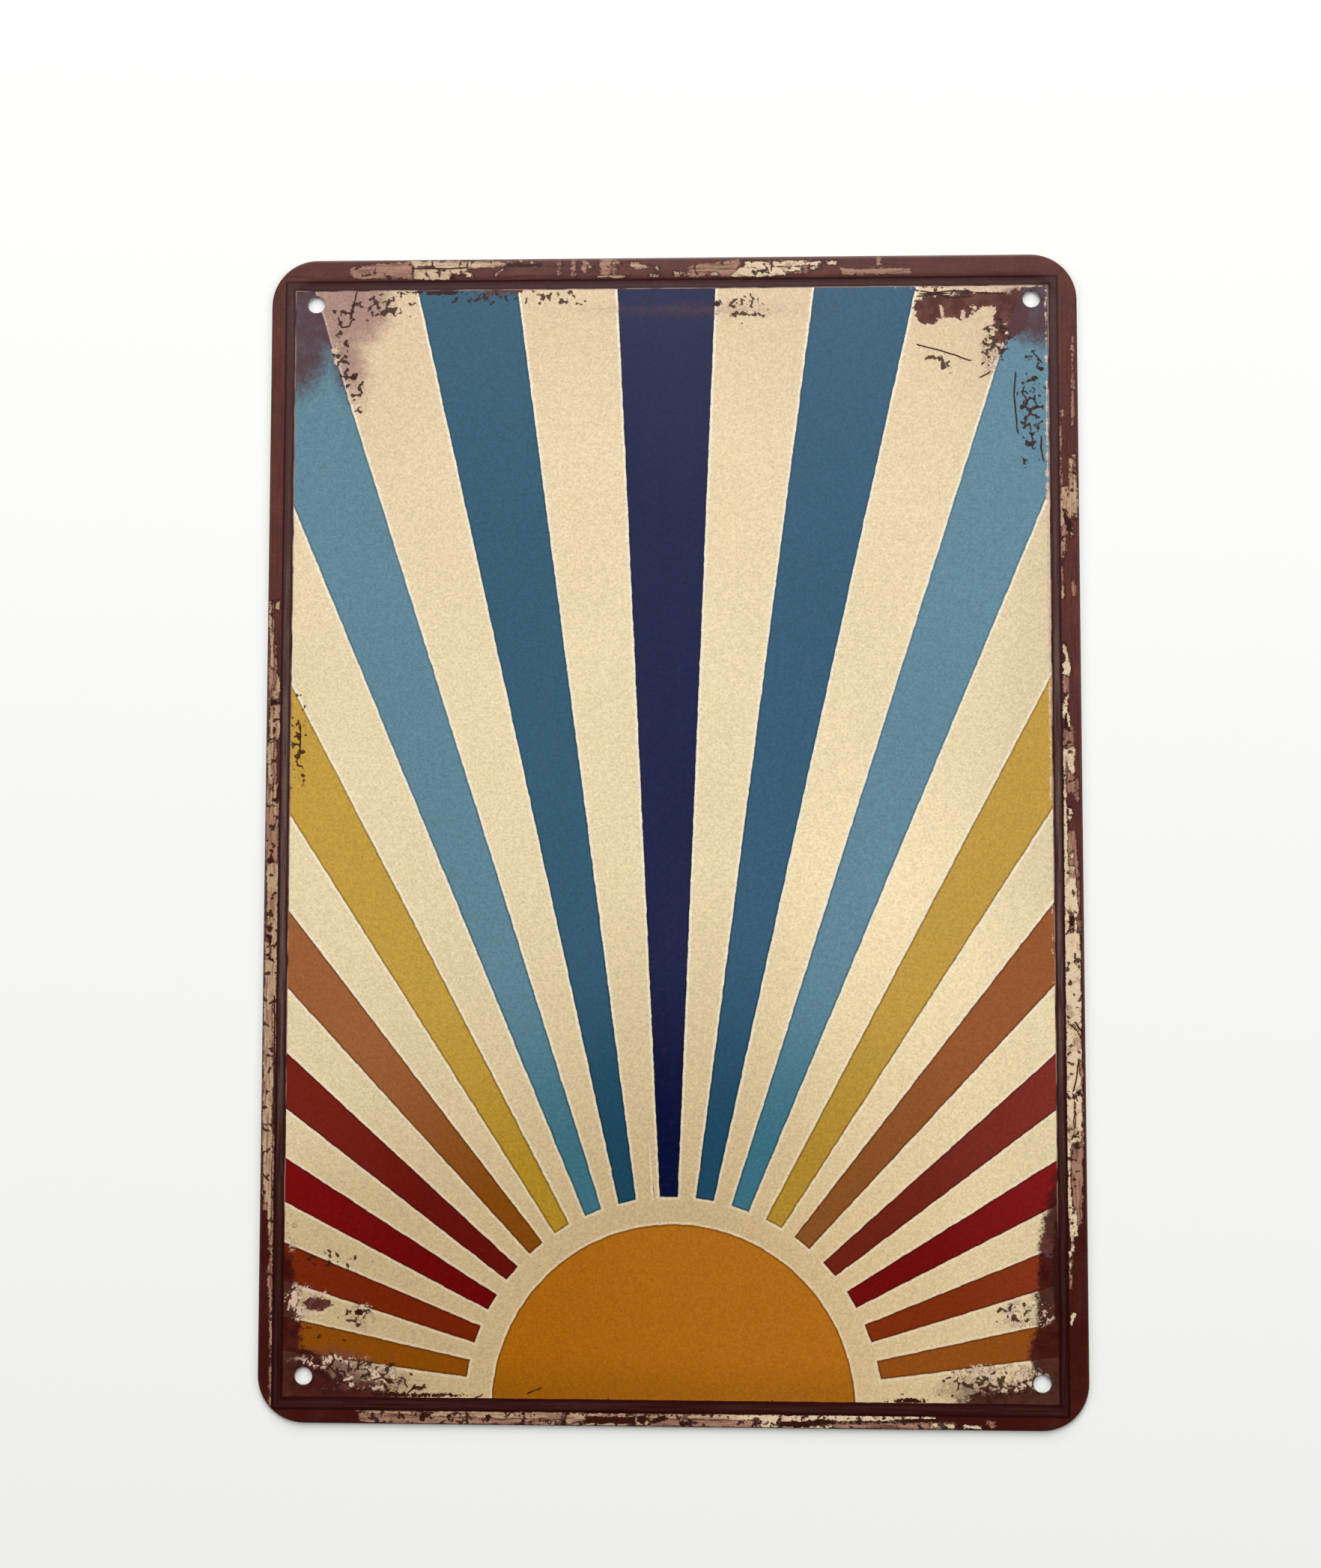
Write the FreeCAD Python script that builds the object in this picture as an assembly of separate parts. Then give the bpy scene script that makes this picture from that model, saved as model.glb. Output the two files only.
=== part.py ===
"""A printed tinplate wall sign: one sheet, stamped, punched and hemmed, lying face up.

The sheet's rim stands a little above the picture field, its edge is folded under all round
as an open hem, and a screw hole is punched in each corner. The origin is at the middle of
the sign's outline on the surface it lies on, +X across the picture, +Y towards its top and
+Z out of the printed face. All lengths are in millimetres and all angles in degrees.
"""

import FreeCAD, Part
import math
import os

# Outline of the finished sign
sign_width = 210.0
sign_height = 300.0
corner_radius = 12.0

# Sheet and the open hem round its edge
sheet_thickness = 0.3
hem_gap = 0.5
side_return = 4.0
corner_return = 1.8
return_mitre_angle = 45.0

# Raised rim and the pressed step down to the picture field
rim_width = 4.5
step_width = 2.9
step_depth = 0.3

# Screw holes, punched from the printed face
hole_diameter = 4.5
hole_inset_across = 11.7
hole_inset_along = 11.7
hole_rollover = 0.1

# Heights that follow from the hem
fold_radius = sheet_thickness + hem_gap / 2
rim_top = 2 * fold_radius
field_top = rim_top - step_depth
field_bottom = field_top - sheet_thickness
step_foot = rim_width + step_width


def at(inward, height):
    """A point of the border section: how far it is in from the outer edge, and its height."""
    return FreeCAD.Vector(-inward, 0, height)


def line(start, end):
    """A straight edge between two points."""
    return Part.LineSegment(start, end).toShape()


def arc(start, through, end):
    """A round edge through three points."""
    return Part.Arc(start, through, end).toShape()


def step_edges(side):
    """The pressed step as two equal tangent arcs, from the rim inwards.

    side is 1 on the printed face and -1 on the back, so both keep the sheet's thickness.
    """
    turn = 2 * math.atan2(step_depth, step_width)
    bend_radius = step_width / 2 / math.sin(turn)
    middle_height = rim_top - sheet_thickness / 2
    rim_bend = bend_radius + side * sheet_thickness / 2
    foot_bend = bend_radius - side * sheet_thickness / 2

    def on_rim_bend(angle):
        centre_height = middle_height - bend_radius
        return at(rim_width + rim_bend * math.sin(angle), centre_height + rim_bend * math.cos(angle))

    def on_foot_bend(angle):
        centre_height = middle_height - step_depth + bend_radius
        return at(step_foot - foot_bend * math.sin(angle), centre_height - foot_bend * math.cos(angle))

    return [
        arc(on_rim_bend(0), on_rim_bend(turn / 2), on_rim_bend(turn)),
        arc(on_foot_bend(turn), on_foot_bend(turn / 2), on_foot_bend(0)),
    ]


def border_section(return_width):
    """The closed section from the hem's free edge, round the fold and in to the corner centre."""
    face_step = step_edges(1)
    back_step = step_edges(-1)
    rim_bottom = rim_top - sheet_thickness
    edges = [
        line(at(return_width, 0), at(fold_radius, 0)),
        arc(at(fold_radius, 0), at(0, fold_radius), at(fold_radius, rim_top)),
        line(at(fold_radius, rim_top), at(rim_width, rim_top)),
        *face_step,
        line(at(step_foot, field_top), at(corner_radius, field_top)),
        line(at(corner_radius, field_top), at(corner_radius, field_bottom)),
        line(at(corner_radius, field_bottom), at(step_foot, field_bottom)),
        *back_step,
        line(at(rim_width, rim_bottom), at(fold_radius, rim_bottom)),
        arc(at(fold_radius, rim_bottom), at(sheet_thickness, fold_radius), at(fold_radius, sheet_thickness)),
        line(at(fold_radius, sheet_thickness), at(return_width, sheet_thickness)),
        line(at(return_width, sheet_thickness), at(return_width, 0)),
    ]
    return Part.Face(Part.Wire(Part.__sortEdges__(edges)))


def return_relief(run):
    """Two wedges that mitre the ends of a side's return down to the narrow corner return."""
    narrowing = side_return - corner_return
    mitre_run = narrowing / math.tan(math.radians(return_mitre_angle))
    below = -sheet_thickness
    depth = 2 * sheet_thickness + hem_gap / 2
    wedges = []
    for end, inwards in ((0, 1), (run, -1)):
        corners = [
            FreeCAD.Vector(-corner_return, end, below),
            FreeCAD.Vector(-side_return, end + inwards * mitre_run, below),
            FreeCAD.Vector(-side_return - narrowing, end + inwards * mitre_run, below),
            FreeCAD.Vector(-side_return - narrowing, end, below),
        ]
        outline = Part.makePolygon(corners + corners[:1])
        wedges.append(Part.Face(outline).extrude(FreeCAD.Vector(0, 0, depth)))
    return wedges


def side_strip(run):
    """One straight side of the border, its outer edge on the Y axis and its run along +Y."""
    strip = border_section(side_return).extrude(FreeCAD.Vector(0, run, 0))
    return strip.cut(return_relief(run))


def corner_strip():
    """One corner of the border: the section turned through a quarter about the corner centre."""
    section = border_section(corner_return)
    section.translate(FreeCAD.Vector(corner_radius, 0, 0))
    return section.revolve(FreeCAD.Vector(0, 0, 0), FreeCAD.Vector(0, 0, 1), 90)


def hole_punch():
    """The punch as a solid of revolution, with the rollover it leaves on the printed face."""
    radius = hole_diameter / 2
    flare = radius + hole_rollover
    shoulder = field_top - hole_rollover
    bend = hole_rollover * math.sqrt(0.5)

    def point(out, height):
        return FreeCAD.Vector(out, 0, height)

    edges = [
        line(point(0, -sheet_thickness), point(radius, -sheet_thickness)),
        line(point(radius, -sheet_thickness), point(radius, shoulder)),
        arc(
            point(radius, shoulder),
            point(flare - bend, shoulder + bend),
            point(flare, field_top),
        ),
        line(point(flare, field_top), point(flare, rim_top + sheet_thickness)),
        line(point(flare, rim_top + sheet_thickness), point(0, rim_top + sheet_thickness)),
        line(point(0, rim_top + sheet_thickness), point(0, -sheet_thickness)),
    ]
    profile = Part.Face(Part.Wire(edges))
    return profile.revolve(FreeCAD.Vector(0, 0, 0), FreeCAD.Vector(0, 0, 1), 360)


def make_sign():
    """The whole sign: four sides, four corners and the field in one sheet, then the holes."""
    across = sign_width - 2 * corner_radius
    along = sign_height - 2 * corner_radius
    pieces = []
    for quarter in range(4):
        turn = 90 * quarter
        run = along if quarter % 2 == 0 else across
        reach = (sign_width if quarter % 2 == 0 else sign_height) / 2
        side = side_strip(run)
        side.translate(FreeCAD.Vector(reach, -run / 2, 0))
        side.rotate(FreeCAD.Vector(0, 0, 0), FreeCAD.Vector(0, 0, 1), turn)
        pieces.append(side)
        corner = corner_strip()
        corner.rotate(FreeCAD.Vector(0, 0, 0), FreeCAD.Vector(0, 0, 1), turn)
        to_right = 1 if quarter in (0, 3) else -1
        to_top = 1 if quarter in (0, 1) else -1
        corner.translate(FreeCAD.Vector(to_right * across / 2, to_top * along / 2, 0))
        pieces.append(corner)
    field = Part.makeBox(across, along, sheet_thickness, FreeCAD.Vector(-across / 2, -along / 2, field_bottom))
    sheet = field.multiFuse(pieces).removeSplitter()

    punch = hole_punch()
    holes = []
    for to_right in (-1, 1):
        for to_top in (-1, 1):
            hole = punch.copy()
            x = to_right * (sign_width / 2 - hole_inset_across)
            y = to_top * (sign_height / 2 - hole_inset_along)
            hole.translate(FreeCAD.Vector(x, y, 0))
            holes.append(hole)
    return sheet.cut(holes)


sign = make_sign()
solid = sign.Solids[0]
print("solids", len(sign.Solids), "valid", sign.isValid(), "volume", round(sign.Volume, 2))
box = sign.optimalBoundingBox(False)
print("size", round(box.XLength, 3), round(box.YLength, 3), round(box.ZLength, 3))

os.makedirs("parts", exist_ok=True)
solid.exportStep("parts/sign_plate.step")
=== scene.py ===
"""A worn, printed tinplate wall sign that lies face up on a plain pale floor.

The sheet is one closed mesh: a hemmed border carried round the outline, a flat field and a
patch with a screw hole in each corner. Its print is a half-sun with rays on a cream ground in
a dark border, worn through along the rim. Lengths are in millimetres until the mesh is filled,
which turns them into metres.
"""

import logging
import math
from dataclasses import dataclass
from enum import Enum

import bpy
import numpy as np
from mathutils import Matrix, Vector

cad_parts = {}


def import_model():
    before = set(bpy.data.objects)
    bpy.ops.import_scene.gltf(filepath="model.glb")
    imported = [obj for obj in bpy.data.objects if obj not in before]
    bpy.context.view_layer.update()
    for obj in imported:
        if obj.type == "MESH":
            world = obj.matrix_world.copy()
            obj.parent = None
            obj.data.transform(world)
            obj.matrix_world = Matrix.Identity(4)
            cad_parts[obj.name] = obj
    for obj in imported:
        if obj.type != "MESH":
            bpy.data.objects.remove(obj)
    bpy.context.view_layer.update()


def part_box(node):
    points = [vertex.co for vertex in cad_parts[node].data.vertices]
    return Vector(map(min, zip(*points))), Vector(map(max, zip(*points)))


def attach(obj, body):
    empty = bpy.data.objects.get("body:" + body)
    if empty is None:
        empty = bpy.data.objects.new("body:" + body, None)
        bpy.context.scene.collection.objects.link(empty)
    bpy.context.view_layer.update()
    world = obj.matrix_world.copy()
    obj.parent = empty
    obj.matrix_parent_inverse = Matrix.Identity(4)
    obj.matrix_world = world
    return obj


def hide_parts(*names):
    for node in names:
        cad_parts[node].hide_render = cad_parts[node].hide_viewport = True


LOG = logging.getLogger("wall_sign")
MM = 0.001
# Points that fall on the same step are welded, and comparisons allow a little slack
WELD_STEPS_PER_MM = 10_000
SLACK = 0.01

Colour = tuple[float, float, float, float]
Ridge = tuple[float, float, float, float]
Socket = bpy.types.NodeSocket


def ink(red: int, green: int, blue: int) -> Colour:
    """Turns a display colour of 0 to 255 into the linear colour that a shader takes.

    Args:
        red, green, blue: the colour as a screen shows it.

    Returns:
        Linear red, green, blue and an alpha of 1.
    """
    shares = (channel / 255 for channel in (red, green, blue))
    linear = (s / 12.92 if s <= 0.04045 else ((s + 0.055) / 1.055) ** 2.4 for s in shares)
    return (*linear, 1.0)


def inks(*rows: tuple[int, int, int]) -> tuple[Colour, ...]:
    """Makes inks from rows of red, green and blue."""
    return tuple(ink(*row) for row in rows)


def ease(value: np.ndarray, start: float, end: float) -> np.ndarray:
    """A smooth step from 0 at start to 1 at end, with no slope at either.

    Args:
        value: where the step is read.
        start: where it leaves 0.
        end: where it reaches 1.

    Returns:
        3t² - 2t³, t being the share of the way from start to end.
    """
    share = np.clip((value - start) / (end - start), 0.0, 1.0)
    return share * share * (3.0 - 2.0 * share)


class Grade(Enum):
    """How closely a row round the border is divided along its length."""

    FINE = 0
    FACE = 1
    BACK = 2


class Surface(Enum):
    """The finishes of the sheet, in the order of its material slots."""

    PRINT = 0
    TIN = 1
    CUT = 2


class Side(Enum):
    """The sides of the rim."""

    TOP = "top"
    BOTTOM = "bottom"
    LEFT = "left"
    RIGHT = "right"


class Wear(Enum):
    """What has happened to the print, each kept as a depth in mm that is above 0 where it shows."""

    CHIPPED = "chipped"
    RUBBED = "rubbed"
    STAINED = "stained"
    VEILED = "veiled"
    SHADED = "shaded"
    FLAKED = "flaked"
    BLOTTED = "blotted"
    CRACKED = "cracked"
    NEAR_CRACK = "near_crack"
    SPECKED = "specked"


@dataclass(frozen=True)
class SheetSizes:
    """The pressed sheet's sizes, as its solid has them."""

    width: float
    height: float
    corner_radius: float = 12.0
    thickness: float = 0.3
    hem_gap: float = 0.5
    side_return: float = 4.0
    corner_return: float = 1.8
    rim_width: float = 4.5
    step_width: float = 2.9
    step_depth: float = 0.3
    hole_radius: float = 2.25
    hole_inset: float = 11.7
    hole_rollover: float = 0.1

    @property
    def fold_radius(self) -> float:
        """Outer radius of the hem's fold."""
        return self.thickness + self.hem_gap / 2

    @property
    def rim_top(self) -> float:
        """Height of the rim's printed face."""
        return 2 * self.fold_radius

    @property
    def field_top(self) -> float:
        """Height of the field's printed face."""
        return self.rim_top - self.step_depth

    @property
    def field_bottom(self) -> float:
        """Height of the field's underside."""
        return self.field_top - self.thickness

    @property
    def step_foot(self) -> float:
        """How far in from the edge the pressed step ends."""
        return self.rim_width + self.step_width

    def inset(self, x: np.ndarray, y: np.ndarray) -> np.ndarray:
        """How far points are in from the rounded outline.

        Args:
            x, y: the points.

        Returns:
            The least distance to a side, and in a corner the radius less the distance to its centre.
        """
        across = np.abs(x) - (self.width / 2 - self.corner_radius)
        along = np.abs(y) - (self.height / 2 - self.corner_radius)
        outside = np.hypot(np.maximum(across, 0), np.maximum(along, 0))
        inside = np.minimum(np.maximum(across, along), 0)
        return self.corner_radius - outside - inside


@dataclass(frozen=True)
class BorderRow:
    """One row of the border's section, carried round the outline.

    It is near mm in from the edge, or reach of the way from there to the return's free edge.
    """

    near: float
    height: float
    grade: Grade
    surface: Surface
    reach: float = 0.0


@dataclass(frozen=True)
class Stations:
    """Where the border's section is set down round the outline, as arrays."""

    centre: np.ndarray
    outward: np.ndarray
    return_width: np.ndarray
    level: np.ndarray


class MeshParts:
    """Gathers grids of points and faces, and welds them into one mesh."""

    def __init__(self) -> None:
        """Starts with no points."""
        self.points: list[np.ndarray] = []
        self.faces: list[tuple[np.ndarray, Surface]] = []
        self.count = 0

    def add_points(self, points: np.ndarray) -> np.ndarray:
        """Adds points.

        Args:
            points: an array whose last axis is x, y, z.

        Returns:
            Their numbers, in the shape that they came in.
        """
        shape = points.shape[:-1]
        numbers = self.count + np.arange(math.prod(shape)).reshape(shape)
        self.points.append(points.reshape(-1, 3))
        self.count += numbers.size
        return numbers

    def add_faces(self, corners: np.ndarray, surface: Surface) -> None:
        """Adds faces that all have the same number of corners, one row each."""
        self.faces.append((corners, surface))

    def weld(self) -> tuple[np.ndarray, list[tuple[np.ndarray, Surface]]]:
        """Makes one point of those that coincide within a tenth of a micron.

        Returns:
            The points that are left, and the faces on their new numbers.
        """
        points = np.concatenate(self.points)
        _, first, renumbered = np.unique(
            np.round(points * WELD_STEPS_PER_MM).astype(np.int64),
            axis=0,
            return_index=True,
            return_inverse=True,
        )
        renumbered = renumbered.reshape(-1)
        return points[first], [(renumbered[corners], surface) for corners, surface in self.faces]


@dataclass(frozen=True)
class SheetMesh:
    """The whole hemmed sheet as one closed surface.

    The border is its section carried round the outline; the face has closer lines than the back,
    and rows of many-cornered faces join the two.
    """

    sizes: SheetSizes
    patch_inset: float = 16.0
    patch_steps: int = 14
    close_run: float = 26.0
    close_steps: int = 44
    back_every: int = 11
    middle_step: float = 3.0
    fine_steps: int = 6
    arc_steps: int = 16
    rim_steps: int = 11
    fold_steps: int = 4
    bend_steps: int = 3
    hole_rings: int = 8
    mitre_steps: int = 4
    after_mitre_steps: int = 3
    waviness: float = 0.04
    wave_lengths: tuple[float, float, float, float] = (31.0, 43.0, 17.0, 26.0)
    wave_starts: tuple[float, float] = (0.6, 1.1)
    second_wave: float = 0.6
    full_wave_at: float = 2.5

    def mitre_marks(self) -> np.ndarray:
        """Marks from a corner's centre line to the patch's end, one of them at the return's mitre."""
        narrowing = self.sizes.side_return - self.sizes.corner_return
        end = self.patch_inset - self.sizes.corner_radius
        mitre = np.linspace(0, narrowing, self.mitre_steps + 1)
        return np.concatenate([mitre, np.linspace(narrowing, end, self.after_mitre_steps + 1)[1:]])

    def side_marks(self, run: float) -> tuple[np.ndarray, np.ndarray]:
        """Marks along one straight side, close together near its ends.

        Args:
            run: the side's length between corner centres.

        Returns:
            The distance of each mark from the side's start, and its level: 2 where every grade has
            a line, 1 where the face and the fine rows have one, 0 where only the fine rows do.
        """
        mitre = self.mitre_marks()
        close_end = mitre[-1] + self.close_run
        close = np.linspace(mitre[-1], close_end, self.close_steps + 1)[1:]
        steps = round((run - 2 * close_end) / self.middle_step) * self.fine_steps
        middle = np.linspace(close_end, run - close_end, steps + 1)[1:-1]
        on_back = np.arange(1, self.close_steps + 1) % self.back_every == 0
        close_level = np.where(on_back, Grade.BACK.value, Grade.FACE.value)
        place = np.arange(1, steps)
        middle_level = (place % self.fine_steps == 0).astype(int) + (place % (2 * self.fine_steps) == 0)
        mitre_level = np.full(mitre.size, Grade.BACK.value)
        marks = [mitre, close, middle, run - close[::-1], run - mitre[::-1]]
        levels = [mitre_level, close_level, middle_level, close_level[::-1], mitre_level]
        return np.concatenate(marks), np.concatenate(levels)

    def stations(self) -> Stations:
        """Sets stations anticlockwise round the outline: along a side, then round its corner.

        Returns:
            The stations, starting at the lower end of the right side.
        """
        sizes = self.sizes
        half = np.array([sizes.width, sizes.height]) / 2 - sizes.corner_radius
        centres, outwards, returns, levels = [], [], [], []
        for quarter, start in enumerate(((1, -1), (1, 1), (-1, 1), (-1, -1))):
            turn = quarter * math.pi / 2
            outward = np.array([math.cos(turn), math.sin(turn)])
            forward = np.array([-outward[1], outward[0]])
            run = 2 * half[1 - quarter % 2]
            marks, level = self.side_marks(run)
            corner = np.array(start) * half
            centres.append(corner + marks[:-1, None] * forward)
            outwards.append(np.tile(outward, (marks.size - 1, 1)))
            to_end = np.minimum(marks, run - marks)[:-1]
            returns.append(np.minimum(sizes.side_return, sizes.corner_return + to_end))
            levels.append(level[:-1])
            angles = turn + np.linspace(0, math.pi / 2, self.arc_steps + 1)[:-1]
            centres.append(np.tile(corner + run * forward, (self.arc_steps, 1)))
            outwards.append(np.stack([np.cos(angles), np.sin(angles)], axis=1))
            returns.append(np.full(self.arc_steps, sizes.corner_return))
            levels.append(np.full(self.arc_steps, Grade.BACK.value))
        return Stations(*(np.concatenate(part) for part in (centres, outwards, returns, levels)))

    def step_line(self, side: int) -> list[tuple[float, float]]:
        """The pressed step as two equal tangent arcs, from its foot out to the rim.

        Args:
            side: 1 on the printed face and -1 on the back.

        Returns:
            Insets and heights, without the first point of the foot.
        """
        sizes = self.sizes
        turn = 2 * math.atan2(sizes.step_depth, sizes.step_width)
        bend = sizes.step_width / 2 / math.sin(turn)
        middle = sizes.rim_top - sizes.thickness / 2
        rim_bend = bend + side * sizes.thickness / 2
        foot_bend = bend - side * sizes.thickness / 2
        foot_centre = middle - sizes.step_depth + bend
        rim_centre = middle - bend
        angles = np.linspace(0, turn, self.bend_steps + 1)
        foot = [
            (sizes.step_foot - foot_bend * math.sin(a), foot_centre - foot_bend * math.cos(a))
            for a in angles[1:]
        ]
        rim = [
            (sizes.rim_width + rim_bend * math.sin(a), rim_centre + rim_bend * math.cos(a))
            for a in angles[::-1][1:]
        ]
        return foot + rim

    def border_rows(self) -> list[BorderRow]:
        """The border's section from the step's foot, out over the fold and back in underneath.

        Returns:
            Its rows, each with the surface that lies between it and the next.
        """
        sizes = self.sizes
        radius = sizes.fold_radius
        inner = radius - sizes.thickness
        fine, back = Grade.FINE, Grade.BACK
        rows = [BorderRow(sizes.step_foot, sizes.field_top, Grade.FACE, Surface.PRINT)]
        rows += [BorderRow(near, height, fine, Surface.PRINT) for near, height in self.step_line(1)]
        for near in np.linspace(sizes.rim_width, radius, self.rim_steps + 1)[1:]:
            rows.append(BorderRow(near, sizes.rim_top, fine, Surface.PRINT))
        for angle in np.linspace(0, math.pi, 2 * self.fold_steps + 1)[1:]:
            grade = fine if angle < math.pi / 2 + SLACK else back
            near = radius - radius * math.sin(angle)
            rows.append(BorderRow(near, radius + radius * math.cos(angle), grade, Surface.PRINT))
        rows.append(BorderRow(radius, 0.0, back, Surface.CUT, 1.0))
        rows.append(BorderRow(radius, sizes.thickness, back, Surface.TIN, 1.0))
        for angle in np.linspace(math.pi, 0, self.fold_steps + 1):
            near = radius - inner * math.sin(angle)
            rows.append(BorderRow(near, radius + inner * math.cos(angle), back, Surface.TIN))
        rows.append(BorderRow(sizes.rim_width / 2, sizes.rim_top - sizes.thickness, back, Surface.TIN))
        under = self.step_line(-1)[::-1]
        rows += [BorderRow(near, height, back, Surface.TIN) for near, height in under]
        rows.append(BorderRow(sizes.step_foot, sizes.field_bottom, back, Surface.TIN))
        return rows

    def add_border(self, parts: MeshParts) -> None:
        """Carries the section round the outline: point = centre + outward x (radius - inset).

        Where two rows have different grades, each face takes all the closer row's points between
        two of the wider row's.

        Args:
            parts: gathers the points and faces.
        """
        stations = self.stations()
        total = stations.level.size
        rows = self.border_rows()
        numbers = []
        for row in rows:
            inset = row.near + row.reach * (stations.return_width - row.near)
            flat = stations.centre + stations.outward * (self.sizes.corner_radius - inset)[:, None]
            numbers.append(parts.add_points(np.column_stack([flat, np.full(total, row.height)])))
        for upper, lower, first, second in zip(rows, rows[1:], numbers, numbers[1:]):
            wide = max(upper.grade.value, lower.grade.value)
            close = min(upper.grade.value, lower.grade.value)
            kept = np.flatnonzero(stations.level >= wide)
            gaps = (np.roll(kept, -1) - kept) % total
            for gap in np.unique(gaps):
                starts = kept[gaps == gap]
                run = (starts[:, None] + np.arange(gap + 1)) % total
                if close == wide:
                    run = run[:, [0, -1]]
                ends = run[:, [0, -1]]
                near = first[ends] if upper.grade.value == wide else first[run]
                far = second[ends] if lower.grade.value == wide else second[run]
                corners = np.concatenate([near[:, :1], far, near[:, :0:-1]], axis=1)
                parts.add_faces(corners, upper.surface)

    def grid_lines(self, length: float, level: int) -> np.ndarray:
        """Lines of the field's grid across one direction, with the corner patches' own at its ends.

        Args:
            length: the sign's width or height.
            level: the least level of a mark that has a line.

        Returns:
            The lines' places, from the least to the greatest.
        """
        half = length / 2
        marks, levels = self.side_marks(length - 2 * self.sizes.corner_radius)
        kept = marks[levels >= level] - (half - self.sizes.corner_radius)
        middle = kept[np.abs(kept) < half - self.patch_inset - SLACK]
        patch = np.linspace(self.sizes.step_foot, self.patch_inset, self.patch_steps + 1)
        return np.concatenate([patch - half, middle, (half - patch)[::-1]])

    def add_field(self, parts: MeshParts, grade: Grade) -> None:
        """A flat grid inside the border, without its four corner squares.

        Args:
            parts: gathers the points and faces.
            grade: FACE for the printed side, BACK for the underside.
        """
        sizes = self.sizes
        x_lines = self.grid_lines(sizes.width, grade.value)
        y_lines = self.grid_lines(sizes.height, grade.value)
        x, y = np.meshgrid(x_lines, y_lines, indexing="ij")
        height = sizes.field_top if grade is Grade.FACE else sizes.field_bottom
        numbers = parts.add_points(np.stack([x, y, np.full_like(x, height)], axis=-1))
        x_middle = (x_lines[1:] + x_lines[:-1])[:, None] / 2
        y_middle = (y_lines[1:] + y_lines[:-1])[None, :] / 2
        corner = (np.abs(x_middle) > sizes.width / 2 - self.patch_inset) & (
            np.abs(y_middle) > sizes.height / 2 - self.patch_inset
        )
        ring = [numbers[:-1, :-1], numbers[1:, :-1], numbers[1:, 1:], numbers[:-1, 1:]]
        corners = np.stack([part[~corner] for part in ring], axis=1)
        if grade is Grade.FACE:
            parts.add_faces(corners, Surface.PRINT)
        else:
            parts.add_faces(corners[:, ::-1], Surface.TIN)

    def patch_outline(self) -> np.ndarray:
        """A corner patch's edge, in mm in from the sign's two sides, going round once.

        Returns:
            Points along the border's inner line, round its corner and back along the field.
        """
        sizes = self.sizes
        foot, end, centre = sizes.step_foot, self.patch_inset, sizes.corner_radius
        marks = centre + self.mitre_marks()
        angles = np.linspace(0, math.pi / 2, self.arc_steps + 1)[1:]
        bend = centre - foot
        inner = np.linspace(foot, end, self.patch_steps + 1)[1:]
        parts = [
            np.column_stack([np.full(marks.size, foot), marks[::-1]]),
            np.column_stack([centre - bend * np.cos(angles), centre - bend * np.sin(angles)]),
            np.column_stack([marks[1:], np.full(marks.size - 1, foot)]),
            np.column_stack([np.full(inner.size, end), inner]),
            np.column_stack([(foot + end - inner)[:-1], np.full(inner.size - 1, end)]),
        ]
        return np.concatenate(parts)

    def add_corner_patch(self, parts: MeshParts, to_right: int, to_top: int) -> None:
        """One corner of the field: rings that go from its edge in to the screw hole.

        Each ring is the edge moved a share of the way to the hole's rim. Then the rings roll over
        the rim, go down the hole's wall, and come back out along the underside.

        Args:
            parts: gathers the points and faces.
            to_right: 1 for a corner on the right, -1 on the left.
            to_top: 1 for a corner at the top, -1 at the bottom.
        """
        sizes = self.sizes
        edge = self.patch_outline()
        hole = np.array([sizes.hole_inset, sizes.hole_inset])
        ray = (edge - hole) / np.linalg.norm(edge - hole, axis=1)[:, None]
        flare = sizes.hole_radius + sizes.hole_rollover
        rings: list[tuple[np.ndarray, float, Surface]] = []
        for share in np.linspace(0, 1, self.hole_rings + 1):
            ring = edge + (hole + ray * flare - edge) * share
            rings.append((ring, sizes.field_top, Surface.PRINT))
        for angle in np.linspace(0, math.pi / 2, self.bend_steps + 1)[1:]:
            radius = flare - sizes.hole_rollover * math.sin(angle)
            height = sizes.field_top - sizes.hole_rollover * (1 - math.cos(angle))
            rings.append((hole + ray * radius, height, Surface.PRINT))
        rings[-1] = (*rings[-1][:2], Surface.CUT)
        for share in np.linspace(1, 0, self.bend_steps + 1):
            ring = edge + (hole + ray * sizes.hole_radius - edge) * share
            rings.append((ring, sizes.field_bottom, Surface.TIN))
        numbers = []
        for ring, height, _ in rings:
            x = to_right * (sizes.width / 2 - ring[:, 0])
            y = to_top * (sizes.height / 2 - ring[:, 1])
            numbers.append(parts.add_points(np.column_stack([x, y, np.full_like(x, height)])))
        for (_, _, surface), outer, inner in zip(rings, numbers, numbers[1:]):
            corners = np.stack([outer, np.roll(outer, -1), np.roll(inner, -1), inner], axis=1)
            parts.add_faces(corners if to_right * to_top > 0 else corners[:, ::-1], surface)

    def wave(self, points: np.ndarray) -> np.ndarray:
        """Lifts and sinks the field a few hundredths of a millimetre, as thin stamped sheet does.

        Args:
            points: the sheet's points.

        Returns:
            The same points with their heights changed by a sum of slow sines, none at the border.
        """
        x, y = points[:, 0], points[:, 1]
        long_x, long_y, short_x, short_y = self.wave_lengths
        start_x, start_y = self.wave_starts
        slow = np.sin(x / long_x + start_x) * np.sin(y / long_y + start_y)
        slow += self.second_wave * np.sin(x / short_x + y / short_y)
        held = ease(self.sizes.inset(x, y), self.patch_inset, self.full_wave_at * self.patch_inset)
        waved = points.copy()
        waved[:, 2] += self.waviness * slow * held / (1 + self.second_wave)
        return waved

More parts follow.
